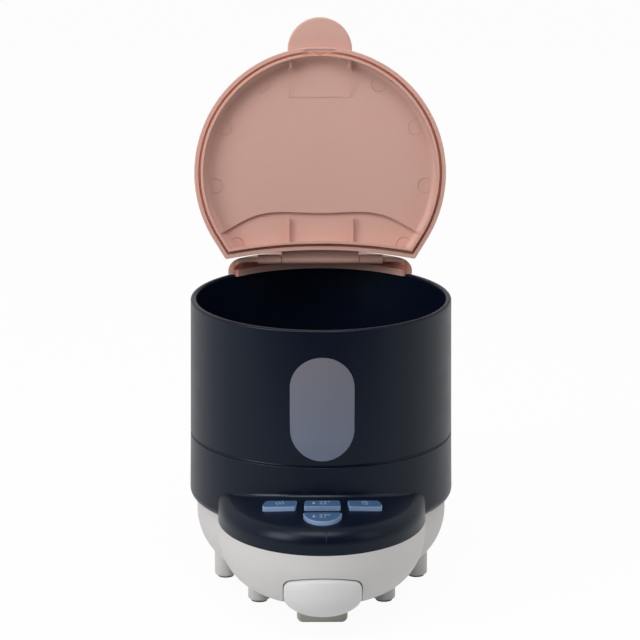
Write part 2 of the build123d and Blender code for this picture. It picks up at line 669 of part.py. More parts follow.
def drain_tube():
    """Silicone tube from the chamber's floor to the outlet."""
    run_z = NOZZLE_TOP_Z + 5.6
    run = FilletPolyline(
        (0, DRAIN_Y, CHAMBER_FLOOR_Z), (0, DRAIN_Y, run_z), (0, NOZZLE_Y, run_z),
        (0, NOZZLE_Y, NOZZLE_TOP_Z), radius=5.5)
    start = Plane(origin=(0, DRAIN_Y, CHAMBER_FLOOR_Z), z_dir=(0, 0, -1))
    return sweep(start * Circle(3.0), path=run) - sweep(start * Circle(1.8), path=run)


def key_board():
    """Flat board under the keys, its ends cut to the console's outline."""
    half_x, half_y = [size / 2 for size in KEY_BOARD_SIZE]
    depth = (KEY_BOARD_Y - half_y, KEY_BOARD_Y + half_y)
    board = block((-half_x, half_x), depth, (KEY_BOARD_Z - KEY_BOARD_THICK, KEY_BOARD_Z))
    return board & console_block(CASE_WALL + 0.5)


def key_switches():
    """One switch under each key, drawn with its plunger pressed."""
    switches = []
    half = SWITCH_WIDE / 2
    top = KEY_BOARD_Z + SWITCH_HIGH
    for name in KEYS:
        x, y, _ = key_outline(name).center()
        foot = block((x - half, x + half), (y - half, y + half), (KEY_BOARD_Z, top - PLUNGER_HIGH))
        switches.append(foot + under_key(name, PLUNGER_R, KEY_BOARD_Z, top))
    return Compound(switches)


def main_board():
    return block(*[(-half, half) for half in BOARD_HALF], (BOARD_Z, BOARD_Z + BOARD_THICK))


def board_components():
    top = BOARD_Z + BOARD_THICK
    relay = block((-26, -6), (-8, 8), (top, top + 12))
    transformer = block((2, 22), (-10, 10), (top, top + 14))
    capacitors = [post(4, x, 17, top, top + 13) for x in (-10, 0, 10)]
    terminal = block((-14, 14), (-22, -15), (top, top + 10))
    return Compound([relay, transformer, *capacitors, terminal])


def board_posts():
    """Four stand-offs under the main board."""
    low = BOWL_Z + CASE_WALL
    return Compound([post(3, x, y, low, BOARD_Z) & bowl(CASE_WALL) for x, y in BOARD_POSTS])


def board_screws():
    top = BOARD_Z + BOARD_THICK
    return Compound([post(2.7, x, y, top, top + 2) for x, y in BOARD_POSTS])


def bottom_cover():
    """Round cover under the base with curved cooling slots."""
    low = BOWL_Z - COVER_THICK / 2
    cover = post(COVER_R, 0, 0, low, low + COVER_THICK)
    for y in (-14, -7, 0, 7, 14):
        half = sqrt(22 ** 2 - y ** 2)
        cover = cover - block((-half, half), (y - 1.2, y + 1.2), (low - 1, low + COVER_THICK + 1))
    return cover


def cover_screws():
    low = BOWL_Z - COVER_THICK / 2
    return Compound([post(2.6, *around(26.5, a), low - 1.2, low) for a in (0, 120, 240)])


def lead_bar(radius, y_low, y_high):
    """Round bar along Y on the lead's axis at the back of the bowl."""
    start = Plane(origin=(0, y_low, GLAND_Z), z_dir=(0, 1, 0))
    return start * Cylinder(radius, y_high - y_low, align=(Align.CENTER, Align.CENTER, Align.MIN))


def cable_gland():
    """Gland for the lead, seated on both sides of the bowl's wall."""
    sleeve = lead_bar(GLAND_R, GLAND_IN_Y, GLAND_OUT_Y)
    collar = lead_bar(GLAND_R + 2, GLAND_IN_Y, GLAND_OUT_Y - 3) - bowl(0)
    nut = lead_bar(GLAND_R + 2, GLAND_IN_Y, BOWL_R) & bowl(CASE_WALL)
    return sleeve + collar + nut - lead_bar(LEAD_R, GLAND_IN_Y - 1, GLAND_OUT_Y + 1)


def pieces():
    """Every piece by name, about the chamber's axis."""
    built = {
        "chamber_shell": chamber_shell(),
        "window_pane": window_pane(),
        "window_seal": window_seal(),
        "lower_housing": lower_housing(),
        "base_casing": base_casing(),
        "foot_pads": foot_pads(),
        "front_foot": front_foot(),
        "spout_cover": spout_cover(),
        "lid_front": lid_front(),
        "lid_rear": lid_rear(),
        "lid_hinge_pin": lid_hinge_pin(),
        "heating_plate": heating_plate(),
        "plate_seal": plate_seal(),
        "heater_element": heater_element(),
        "heater_strap": heater_strap(),
        "strap_screws": strap_screws(),
        "thermostat": thermostat(),
        "thermal_fuse": thermal_fuse(),
        "steam_grid": steam_grid(),
        "spout_nozzle": spout_nozzle(),
        "drain_tube": drain_tube(),
        "key_board": key_board(),
        "key_switches": key_switches(),
        "main_board": main_board(),
        "board_components": board_components(),
        "board_posts": board_posts(),
        "board_screws": board_screws(),
        "bottom_cover": bottom_cover(),
        "cover_screws": cover_screws(),
        "cable_gland": cable_gland(),
    }
    for name in KEYS:
        built[name] = key(name)
    return built


def main():
    os.makedirs("parts", exist_ok=True)
    for name, piece in pieces().items():
        export_step(Pos(0, BODY_OFFSET_Y, 0) * piece, f"parts/{name}.step")


if __name__ == "__main__":
    main()
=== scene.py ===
"""Finishes, small parts and studio stage of a countertop bottle warmer, built round its packed model.

Everything is in metres in the model's own frame: +Z up, the console and nose towards -Y.
"""

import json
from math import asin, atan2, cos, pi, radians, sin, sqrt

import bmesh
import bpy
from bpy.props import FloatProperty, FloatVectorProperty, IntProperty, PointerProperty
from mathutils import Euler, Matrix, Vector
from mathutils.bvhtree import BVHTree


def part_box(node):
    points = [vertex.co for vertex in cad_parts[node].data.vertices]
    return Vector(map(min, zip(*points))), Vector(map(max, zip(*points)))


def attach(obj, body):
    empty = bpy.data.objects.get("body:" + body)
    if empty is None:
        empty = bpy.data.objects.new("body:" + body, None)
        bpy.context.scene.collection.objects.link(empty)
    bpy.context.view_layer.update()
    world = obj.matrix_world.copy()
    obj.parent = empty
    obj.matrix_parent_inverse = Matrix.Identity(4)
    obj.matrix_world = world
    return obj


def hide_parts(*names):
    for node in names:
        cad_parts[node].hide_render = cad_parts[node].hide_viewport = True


bl_info = {
    "name": "Bottle warmer finishes",
    "version": (1, 0, 0),
    "blender": (4, 5, 0),
    "location": "View3D > Sidebar > Warmer",
    "description": "Dresses a bottle warmer's packed model with its finishes and small parts",
    "category": "Object",
}

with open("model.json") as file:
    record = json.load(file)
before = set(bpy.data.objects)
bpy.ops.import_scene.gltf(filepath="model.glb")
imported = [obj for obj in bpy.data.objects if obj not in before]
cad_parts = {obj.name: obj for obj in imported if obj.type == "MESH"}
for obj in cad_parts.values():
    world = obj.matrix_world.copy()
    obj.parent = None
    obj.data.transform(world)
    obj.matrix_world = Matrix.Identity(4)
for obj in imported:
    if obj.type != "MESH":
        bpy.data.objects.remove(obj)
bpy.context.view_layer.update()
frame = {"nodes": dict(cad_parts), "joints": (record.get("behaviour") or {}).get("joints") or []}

MM = 0.001

SHELL_LOW, SHELL_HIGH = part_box("chamber_shell")
AXIS_Y = (SHELL_LOW.y + SHELL_HIGH.y) / 2       # the chamber's axis
PANE_LOW, PANE_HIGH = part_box("window_pane")
LID_HINGE = Vector(next(j for j in frame["joints"] if j["name"] == "lid_hinge")["pos_m"])
LID_OPEN = radians(102)
CLOSED_TOP = 155.8 * MM                         # top of the closed lid's dome
SHELF_SLOPE = radians(13)                       # fall of the console shelf to the front
SHELF_NORMAL = Vector((0, -sin(SHELF_SLOPE), cos(SHELF_SLOPE)))


def srgb(red, green, blue):
    """Linear colour of a screen colour given as 0 to 255."""
    shares = [value / 255 for value in (red, green, blue)]
    return tuple(s / 12.92 if s <= 0.04045 else ((s + 0.055) / 1.055) ** 2.4 for s in shares)


def colour_property(name, description, default):
    return FloatVectorProperty(
        name=name, description=description, subtype="COLOR", size=3, min=0, max=1, default=default)


def length_property(name, description, default):
    return FloatProperty(name=name, description=description, subtype="DISTANCE", unit="LENGTH",
                         precision=5, min=0, default=default)


def angle_property(name, description, degrees):
    return FloatProperty(
        name=name, description=description, subtype="ANGLE", unit="ROTATION", default=radians(degrees))


def power_property(name, description, default):
    return FloatProperty(
        name=name, description=description, subtype="POWER", unit="POWER", min=0, default=default)


def number_property(name, description, default, least, most):
    return IntProperty(name=name, description=description, default=default, min=least, max=most)


# ---------------------------------------------------------------- settings

class WarmerFinish(bpy.types.PropertyGroup):
    """Colours and surface texture of the appliance."""

    navy: colour_property("Navy", "Satin plastic of the chamber and the housing", srgb(7, 15, 33))
    pink: colour_property("Pink", "Satin plastic of the lid", srgb(219, 176, 163))
    # Painted shade: darker, warmer pink for the seal groove, the seal bead and the rear segment's wall,
    # where the lid lies in shade.
    pink_shade: colour_property("Deep pink", "Lid plastic in the seal groove", srgb(214, 139, 117))
    casing: colour_property("Casing", "Pale plastic of the base", srgb(208, 206, 204))
    nose: colour_property("Nose", "Smooth plastic of the outlet cover", srgb(212, 212, 213))
    foot: colour_property("Foot", "Matt plastic of the front foot", srgb(186, 184, 172))
    key: colour_property("Key", "Translucent plastic of the keys", srgb(64, 92, 128))
    # Painted light: lighter colour of the keys' sides, standing in for light scattered out through the
    # plastic.
    key_side_light: colour_property("Key side", "Light scattered in the sides of the keys", srgb(132, 160, 200))
    mark: colour_property("Mark", "Print on the keys", srgb(138, 160, 192))
    pane: colour_property("Pane", "Frosted plastic of the sight window", srgb(129, 133, 145))
    silicone: colour_property("Silicone", "Seals", srgb(96, 100, 108))
    rubber: colour_property("Rubber", "Foot pads", srgb(120, 118, 115))
    steel: colour_property("Steel", "Heating plate, pin and screws", srgb(200, 200, 202))
    grid: colour_property("Grid", "Lift-out steam grid", srgb(150, 152, 158))
    pane_edge: colour_property("Pane edge", "Bead round the sight window", srgb(178, 184, 196))
    element: colour_property("Element", "Heating element and thermostat", srgb(150, 150, 152))
    ceramic: colour_property("Ceramic", "Body of the thermal fuse", srgb(215, 210, 195))
    tube: colour_property("Tube", "Drain tube", srgb(205, 205, 205))
    component: colour_property("Component", "Components and switches", srgb(38, 38, 40))
    post: colour_property("Post", "Posts of the main board", srgb(205, 202, 198))
    grain: length_property("Grain", "Size of the moulded grain", 0.35 * MM)
    grain_height: length_property("Grain height", "Depth of the moulded grain", 0.012 * MM)


class WarmerMarks(bpy.types.PropertyGroup):
    """Print on the keys and moulding marks."""

    cool: number_property("Cool", "Number on the middle key", 22, 0, 99)
    warm: number_property("Warm", "Number on the half-round key", 37, 0, 99)
    digits: length_property("Digits", "Height of the numbers", 3.0 * MM)
    print_height: length_property("Print height", "How far the print stands up", 0.05 * MM)
    ejector_radius: length_property("Ejector radius", "Ring left by an ejector pin", 3.7 * MM)
    witness_line: length_property("Witness line", "Width of a moulding line", 0.32 * MM)


class WarmerSmallParts(bpy.types.PropertyGroup):
    """Screws, foot pads, beads, fillet and steam grid."""

    recess_wide: length_property("Recess width", "Width of a screw's cross recess", 0.75 * MM)
    recess_deep: length_property("Recess depth", "Depth of a screw's cross recess", 0.8 * MM)
    pad_groove: length_property("Pad groove", "Radius of the grooves under a foot pad", 0.28 * MM)
    bead: length_property("Bead", "Radius of the window's edge bead", 0.18 * MM)
    shelf_fillet: length_property("Shelf fillet", "Largest radius between drum and shelf", 2.0 * MM)
    mould_bead: length_property("Mould line", "Radius of the line on the console's front", 0.26 * MM)
    seam_bead: length_property("Seam strip", "Radius of the strip in the drum's seam", 0.52 * MM)
    # Bead coloured in painted shade that sits in the lid's groove.
    lid_seal: length_property("Lid seal", "Radius of the seal in the lid's groove", 0.5 * MM)
    spokes: number_property("Spokes", "Spokes of the steam grid", 12, 3, 48)
    spoke_wide: length_property("Spoke width", "Width of a spoke", 2.2 * MM)
    grid_round: length_property("Grid rounding", "Rounding of the grid's bars", 0.6 * MM)


class WarmerStage(bpy.types.PropertyGroup):
    """Camera, floor and lamps."""

    aside: length_property("Aside", "Camera left of the origin", 0.01594)
    distance: length_property("Distance", "Camera in front of the origin", 1.70585)
    height: length_property("Height", "Camera above the floor", 0.60247)
    pitch: angle_property("Pitch", "Camera's tilt to the floor", 15.2354)
    yaw: angle_property("Yaw", "Camera's turn to the right", 0.514)
    lens: FloatProperty(name="Lens", description="Focal length", subtype="DISTANCE_CAMERA",
                        default=202.77, min=10)
    room: FloatProperty(name="Room light", description="Strength of the even light", default=0.62, min=0)
    left_lamp: power_property("Left lamp", "Power of the lamp on the left", 12.5)
    right_lamp: power_property("Right lamp", "Power of the lamp on the right", 2.4)
    top_lamp: power_property("Top lamp", "Power of the lamp above the front", 10.5)


# ---------------------------------------------------------------- node helpers

def add_node(tree, kind, inputs=None, **settings):
    """New node with its settings, and with a value or a link for each input named."""
    node = tree.nodes.new(kind)
    for name, value in settings.items():
        setattr(node, name, value)
    for key, value in (inputs or {}).items():
        if isinstance(value, bpy.types.NodeSocket):
            tree.links.new(value, node.inputs[key])
        else:
            node.inputs[key].default_value = value
    return node


def math_node(tree, operation, first, second):
    return add_node(tree, "ShaderNodeMath", {0: first, 1: second}, operation=operation).outputs["Value"]


def product(tree, first, second):
    return math_node(tree, "MULTIPLY", first, second)


def vector_node(tree, x=0.0, y=0.0, z=0.0):
    return add_node(tree, "ShaderNodeCombineXYZ", {"X": x, "Y": y, "Z": z}).outputs["Vector"]


def rgba(colour, factor=1.0):
    return (*[min(1.0, channel * factor) for channel in colour], 1.0)


def empty_tree(holder):
    """Node tree of a new material or world, without its first nodes."""
    holder.use_nodes = True
    holder.node_tree.nodes.clear()
    return holder.node_tree


def blank_material(name):
    """New material, its tree and the place on the object that its patterns read."""
    material = bpy.data.materials.new(name)
    tree = empty_tree(material)
    place = add_node(tree, "ShaderNodeTexCoord").outputs["Object"]
    return material, tree, place


def noise(tree, place, size, detail, stretch=(1, 1, 1)):
    """Noise whose blotches are about size across, longer where stretch is below 1."""
    scaled = add_node(tree, "ShaderNodeMapping", {"Vector": place, "Scale": stretch}).outputs["Vector"]
    return add_node(tree, "ShaderNodeTexNoise",
                    {"Vector": scaled, "Scale": 1 / size, "Detail": detail}).outputs["Fac"]


def tinted(tree, factor, low, high):
    """Colour between two, by a factor."""
    mix = add_node(tree, "ShaderNodeMix", {"Factor": factor, 6: low, 7: high}, data_type="RGBA")
    return mix.outputs[2]


def ranged(tree, factor, low, high):
    """Number between two, by a factor."""
    spread = add_node(tree, "ShaderNodeMapRange", {"Value": factor, "To Min": low, "To Max": high})
    return spread.outputs["Result"]


def bumped(tree, height, depth, below=None):
    """Normal of a surface with a height pattern of that depth."""
    inputs = {"Height": height, "Strength": 1.0, "Distance": depth}
    if below is not None:
        inputs["Normal"] = below
    return add_node(tree, "ShaderNodeBump", inputs).outputs["Normal"]


def finish_with(tree, colour, roughness, normal, **uniform):
    """Principled shader with linked colour, roughness and normal, and uniform values by socket name."""
    inputs = {"Base Color": colour, "Roughness": roughness, "Normal": normal}
    inputs.update({name.replace("_", " "): value for name, value in uniform.items()})
    shader = add_node(tree, "ShaderNodeBsdfPrincipled", inputs).outputs["BSDF"]
    add_node(tree, "ShaderNodeOutputMaterial", {"Surface": shader})


def axis_distance(tree, place):
    """Level distance from the chamber's axis."""
    centred = add_node(tree, "ShaderNodeMapping", {"Vector": place, "Location": (0, -AXIS_Y, 0)})
    apart = add_node(tree, "ShaderNodeSeparateXYZ", {"Vector": centred.outputs["Vector"]}).outputs
    level = vector_node(tree, apart["X"], apart["Y"])
    return add_node(tree, "ShaderNodeVectorMath", {0: level}, operation="LENGTH").outputs["Value"]


def moulded_plastic(name, colour, roughness, mottle=0.05, grain_share=1.0, inside=None, **uniform):
    """Moulded plastic: fine grain, slow flow mottling and a slightly uneven gloss.

    inside is a painted shade colour for a wall at a distance from the chamber's axis, and that distance.
    """
    flow_size, flow_stretch, smudge_size = 38 * MM, (1, 1, 0.45), 11 * MM
    ripple_depth, unevenness, wall_band = 0.05 * MM, 0.06, 0.6 * MM
    finish = bpy.context.scene.warmer_finish
    material, tree, place = blank_material(name)
    grain = noise(tree, place, finish.grain, 3.0)
    flow = noise(tree, place, flow_size, 3.0, flow_stretch)
    smudge = noise(tree, place, smudge_size, 4.0)
    colour_out = tinted(tree, flow, rgba(colour, 1 - mottle), rgba(colour, 1 + mottle))
    if inside is not None:
        wall_shade_colour, wall_distance = inside
        # Painted shade: faces within the band round that distance take the darker wall colour.
        in_wall_shade = add_node(tree, "ShaderNodeMath", {
            0: axis_distance(tree, place), 1: wall_distance, 2: wall_band}, operation="COMPARE")
        colour_out = tinted(tree, in_wall_shade.outputs["Value"], colour_out, rgba(wall_shade_colour))
    roughness_out = ranged(tree, smudge, roughness - unevenness, roughness + unevenness)
    ripple = bumped(tree, flow, ripple_depth)
    normal = bumped(tree, grain, finish.grain_height * grain_share, ripple)
    finish_with(tree, colour_out, roughness_out, normal, **uniform)
    return material


def brushed_metal(name, colour, roughness, turned=False):
    """Metal with fine parallel scratches, or round ones about the chamber's axis."""
    turned_size, scratch_size, scratch_stretch = 0.25 * MM, 0.3 * MM, (0.03, 1, 1)
    stain_size, scratch_depth = 14 * MM, 0.006 * MM
    material, tree, place = blank_material(name)
    if turned:
        scratches = noise(tree, vector_node(tree, axis_distance(tree, place)), turned_size, 4.0)
    else:
        scratches = noise(tree, place, scratch_size, 4.0, scratch_stretch)
    stain = noise(tree, place, stain_size, 4.0)
    colour_out = tinted(tree, stain, rgba(colour, 0.88), rgba(colour, 1.04))
    roughness_out = ranged(tree, scratches, roughness - 0.08, roughness + 0.12)
    normal = bumped(tree, scratches, scratch_depth)
    finish_with(tree, colour_out, roughness_out, normal, Metallic=1.0)
    return material


def frosted_plastic(name, colour, roughness, transmission):
    """Etched see-through plastic, pinker towards the top and bluer towards the bottom."""
    frost_size, frost_depth, unevenness = 0.18 * MM, 0.01 * MM, 0.05
    low_tint, high_tint = (0.80, 0.94, 1.10), (1.06, 0.96, 0.94)
    material, tree, place = blank_material(name)
    frost = noise(tree, place, frost_size, 2.0)
    height = add_node(tree, "ShaderNodeSeparateXYZ", {"Vector": place}).outputs["Z"]
    lift = add_node(tree, "ShaderNodeMapRange", {
        "Value": height, "From Min": PANE_LOW.z, "From Max": PANE_HIGH.z}).outputs["Result"]
    low, high = (rgba([channel * share for channel, share in zip(colour, tint)])
                 for tint in (low_tint, high_tint))
    colour_out = tinted(tree, lift, low, high)
    roughness_out = ranged(tree, frost, roughness - unevenness, roughness + unevenness)
    normal = bumped(tree, frost, frost_depth)
    finish_with(tree, colour_out, roughness_out, normal, Transmission_Weight=transmission, IOR=1.49)
    return material


def soft_rubber(name, colour, roughness, transmission=0.0):
    """Rubber or silicone: matt, faintly cloudy, with dust in its grain."""
    dust_size, dust_depth, cloud_size, unevenness = 0.6 * MM, 0.02 * MM, 9 * MM, 0.08
    material, tree, place = blank_material(name)
    dust = noise(tree, place, dust_size, 5.0)
    cloud = noise(tree, place, cloud_size, 3.0)
    colour_out = tinted(tree, cloud, rgba(colour, 0.90), rgba(colour, 1.10))
    roughness_out = ranged(tree, dust, roughness - unevenness, roughness + unevenness)
    normal = bumped(tree, dust, dust_depth)
    finish_with(tree, colour_out, roughness_out, normal, Transmission_Weight=transmission,
                Specular_IOR_Level=0.3)
    return material


def circuit_board(name):
    """Green solder mask over squared copper tracks."""
    speck_size, track_depth = 0.8 * MM, 0.03 * MM
    mask, dark_mask = (0.010, 0.085, 0.035, 1), (0.008, 0.070, 0.030, 1)
    track = (0.030, 0.160, 0.070, 1)
    material, tree, place = blank_material(name)
    tracks = add_node(tree, "ShaderNodeTexBrick", {
        "Vector": place, "Scale": 120.0, "Mortar Size": 0.09, "Brick Width": 0.9, "Row Height": 0.45,
        "Color1": mask, "Color2": dark_mask, "Mortar": track}).outputs
    roughness_out = ranged(tree, noise(tree, place, speck_size, 3.0), 0.30, 0.45)
    normal = bumped(tree, tracks["Fac"], track_depth)
    finish_with(tree, tracks["Color"], roughness_out, normal)
    return material


# ---------------------------------------------------------------- mesh helpers

def dress(material, *names):
    """Gives CAD nodes a material in place of their own."""
    for name in names:
        slots = frame["nodes"][name].data.materials
        slots.clear()
        slots.append(material)


def new_object(name, mesh, material=None):
    thing = bpy.data.objects.new(name, mesh)
    bpy.context.scene.collection.objects.link(thing)
    if material is not None:
        mesh.materials.clear()
        mesh.materials.append(material)
    return thing


def mesh_from(name, vertices, edges=(), faces=()):
    mesh = bpy.data.meshes.new(name)
    mesh.from_pydata([tuple(v) for v in vertices], list(edges), list(faces))
    mesh.update()
    return mesh


def shade_smooth(mesh, angle=35):
    """Smooth shading with sharp edges kept."""
    for face in mesh.polygons:
        face.use_smooth = True
    mesh.set_sharp_from_angle(angle=radians(angle))


def mesh_of(shape, name):
    """Mesh of a finished bmesh, which is freed."""
    mesh = bpy.data.meshes.new(name)
    shape.to_mesh(mesh)
    shape.free()
    return mesh


def lofted(name, rings):
    """Mesh through rings of points, closed by a face at each end."""
    shape = bmesh.new()
    rows = [[shape.verts.new(point) for point in ring] for ring in rings]
    for one, two in zip(rows, rows[1:]):
        for i, j in zip(range(len(one)), [*range(1, len(one)), 0]):
            shape.faces.new((one[i], one[j], two[j], two[i]))
    for end in (rows[0], rows[-1]):
        shape.faces.new(end)
    bmesh.ops.recalc_face_normals(shape, faces=shape.faces)
    return mesh_of(shape, name)


def surface_of(name):
    """Search tree over the faces of a CAD node."""
    mesh = frame["nodes"][name].data
    corners = [v.co.copy() for v in mesh.vertices]
    return BVHTree.FromPolygons(corners, [tuple(p.vertices) for p in mesh.polygons])


def laid_on(surface, point, direction, lift):
    """Where a point lands on a surface along a direction, lifted off it by a little."""
    hit = surface.ray_cast(point, direction)[0]
    if hit is None:
        raise RuntimeError(f"nothing under {tuple(round(c, 4) for c in point)} to carry a mark")
    return hit - direction * lift


def round_axis(radius, degrees, height):
    """Points round the chamber's axis, at angles counted from the front."""
    turns = [radians(angle) for angle in degrees]
    return [Vector((radius * sin(a), AXIS_Y - radius * cos(a), height)) for a in turns]


def opened(point, way=1):
    """Place on the open lid of a point given on the closed one, or the other way with -1."""
    turn = Matrix.Rotation(-LID_OPEN * way, 3, "X")
    return LID_HINGE + turn @ (Vector(point) - LID_HINGE)


# ---------------------------------------------------------------- geometry node trees

def node_group(name, sizes):
    """Geometry tree with named inputs. Gives the tree, the inputs' sockets and the output node."""
    tree = bpy.data.node_groups.new(name, "GeometryNodeTree")
    tree.interface.new_socket("Geometry", in_out="INPUT", socket_type="NodeSocketGeometry")
    for label, default in sizes.items():
        kind = "NodeSocketInt" if isinstance(default, int) else "NodeSocketFloat"
        socket = tree.interface.new_socket(label, in_out="INPUT", socket_type=kind)
        socket.default_value = default
        if kind == "NodeSocketFloat":
            socket.subtype = "DISTANCE"
    tree.interface.new_socket("Material", in_out="INPUT", socket_type="NodeSocketMaterial")
    tree.interface.new_socket("Geometry", in_out="OUTPUT", socket_type="NodeSocketGeometry")
    return tree, tree.nodes.new("NodeGroupInput").outputs, tree.nodes.new("NodeGroupOutput")


def close_group(tree, sizes, leave, geometry):
    """Ends a tree: real geometry with its material."""
    real = add_node(tree, "GeometryNodeRealizeInstances", {"Geometry": geometry})
    painted = add_node(tree, "GeometryNodeSetMaterial", {
        "Geometry": real.outputs["Geometry"], "Material": sizes["Material"]})
    tree.links.new(painted.outputs["Geometry"], leave.inputs["Geometry"])
    return tree


def grown(name, seed_mesh, tree, values, material, smooth=35):
    """Plain mesh object that a tree grows from a seed mesh."""
    thing = new_object(name, seed_mesh)
    modifier = thing.modifiers.new(name, "NODES")
    modifier.node_group = tree
    labels = {item.name: item.identifier for item in tree.interface.items_tree
              if item.item_type == "SOCKET" and item.in_out == "INPUT"}
    for label, value in values.items():
        modifier[labels[label]] = value
    modifier[labels["Material"]] = material
    bpy.context.view_layer.update()
    evaluated = thing.evaluated_get(bpy.context.evaluated_depsgraph_get())
    mesh = bpy.data.meshes.new_from_object(evaluated)
    thing.modifiers.clear()
    thing.data = mesh
    mesh.name = name
    if not mesh.polygons:
        raise RuntimeError(f"{name} came out empty")
    shade_smooth(mesh, smooth)
    return thing


def shifted(tree, geometry, offset, rotation=(0, 0, 0)):
    return add_node(tree, "GeometryNodeTransform", {
        "Geometry": geometry, "Translation": offset, "Rotation": rotation}).outputs["Geometry"]


def raised(tree, geometry, height):
    return shifted(tree, geometry, vector_node(tree, z=height))


def cylinder(tree, sides, radius, depth):
    return add_node(tree, "GeometryNodeMeshCylinder", {
        "Vertices": sides, "Radius": radius, "Depth": depth}, fill_type="NGON").outputs["Mesh"]


def circle(tree, points, radius):
    return add_node(tree, "GeometryNodeCurvePrimitiveCircle", {
        "Resolution": points, "Radius": radius}, mode="RADIUS").outputs["Curve"]


def swept(tree, path, section, caps=False):
    """Section drawn along a path."""
    return add_node(tree, "GeometryNodeCurveToMesh", {
        "Curve": path, "Profile Curve": section, "Fill Caps": caps}).outputs["Mesh"]


def set_on(tree, points, piece, turn=(0, 0, 0)):
    """A piece at each point, turned."""
    return add_node(tree, "GeometryNodeInstanceOnPoints", {
        "Points": points, "Instance": piece, "Rotation": turn}).outputs["Instances"]


def point_turn(tree):
    """Turn that each point of the seed carries."""
    return add_node(tree, "GeometryNodeInputNamedAttribute", {"Name": "turn"},
                    data_type="FLOAT_VECTOR").outputs["Attribute"]


def screw_tree():
    """Pan-head screws with a cross recess, one at each point of the seed, turned by its turn."""
    tree, sizes, leave = node_group("pan_head_screws", {
        "Radius": 2.6 * MM, "Height": 1.2 * MM, "Recess Width": 0.7 * MM, "Recess Depth": 0.7 * MM})
    radius, height, flattening, arm_share = sizes["Radius"], sizes["Height"], 0.8, 1.15
    barrel = raised(tree, cylinder(tree, 40, radius, height), product(tree, height, 0.5))
    bulge = math_node(tree, "DIVIDE", product(tree, radius, radius), height)
    ball_radius = product(tree, math_node(tree, "ADD", bulge, height), flattening)
    ball = add_node(tree, "GeometryNodeMeshUVSphere", {
        "Segments": 64, "Rings": 48, "Radius": ball_radius}).outputs["Mesh"]
    ball = raised(tree, ball, math_node(tree, "SUBTRACT", height, ball_radius))
    head = add_node(tree, "GeometryNodeMeshBoolean", {"Mesh": barrel}, operation="INTERSECT")
    tree.links.new(ball, head.inputs["Mesh"])
    arm_size = vector_node(tree, product(tree, radius, arm_share), sizes["Recess Width"],
                           product(tree, sizes["Recess Depth"], 2.0))
    arm = add_node(tree, "GeometryNodeMeshCube", {"Size": arm_size}).outputs["Mesh"]
    cut = add_node(tree, "GeometryNodeMeshBoolean", {"Mesh 1": head.outputs["Mesh"]},
                   operation="DIFFERENCE")
    for turn in (0, 90):
        cross_arm = shifted(tree, arm, vector_node(tree, z=height), (0, 0, radians(turn)))
        tree.links.new(cross_arm, cut.inputs["Mesh 2"])
    screws = set_on(tree, sizes["Geometry"], cut.outputs["Mesh"], point_turn(tree))
    return close_group(tree, sizes, leave, screws)


def pad_tree():
    """Round rubber pads with ring grooves in their undersides."""
    tree, sizes, leave = node_group("foot_pads", {
        "Radius": 4.0 * MM, "Thickness": 1.6 * MM, "Groove": 0.28 * MM})
    radius, thick, groove_shares = sizes["Radius"], sizes["Thickness"], (0.35, 0.72)
    disc = raised(tree, cylinder(tree, 56, radius, thick), product(tree, thick, 0.5))
    cut = add_node(tree, "GeometryNodeMeshBoolean", {"Mesh 1": disc}, operation="DIFFERENCE")
    section = circle(tree, 8, sizes["Groove"])
    for share in groove_shares:
        groove = swept(tree, circle(tree, 48, product(tree, radius, share)), section)
        tree.links.new(groove, cut.inputs["Mesh 2"])
    return close_group(tree, sizes, leave, set_on(tree, sizes["Geometry"], cut.outputs["Mesh"]))


def bead_tree():
    """Round bead along the seed's edges."""
    tree, sizes, leave = node_group("bead_along_path", {"Radius": 0.2 * MM, "Sides": 8})
    path = add_node(tree, "GeometryNodeMeshToCurve", {"Mesh": sizes["Geometry"]}).outputs["Curve"]
    bead = swept(tree, path, circle(tree, sizes["Sides"], sizes["Radius"]), caps=True)
    return close_group(tree, sizes, leave, bead)


def ring_tree():
    """Thin rings laid flat at the seed's points, turned by each point's turn."""
    tree, sizes, leave = node_group("ejector_rings", {"Ring Radius": 3.7 * MM, "Line": 0.08 * MM})
    ring = swept(tree, circle(tree, 48, sizes["Ring Radius"]), circle(tree, 6, sizes["Line"]))
    rings = set_on(tree, sizes["Geometry"], ring, point_turn(tree))
    return close_group(tree, sizes, leave, rings)


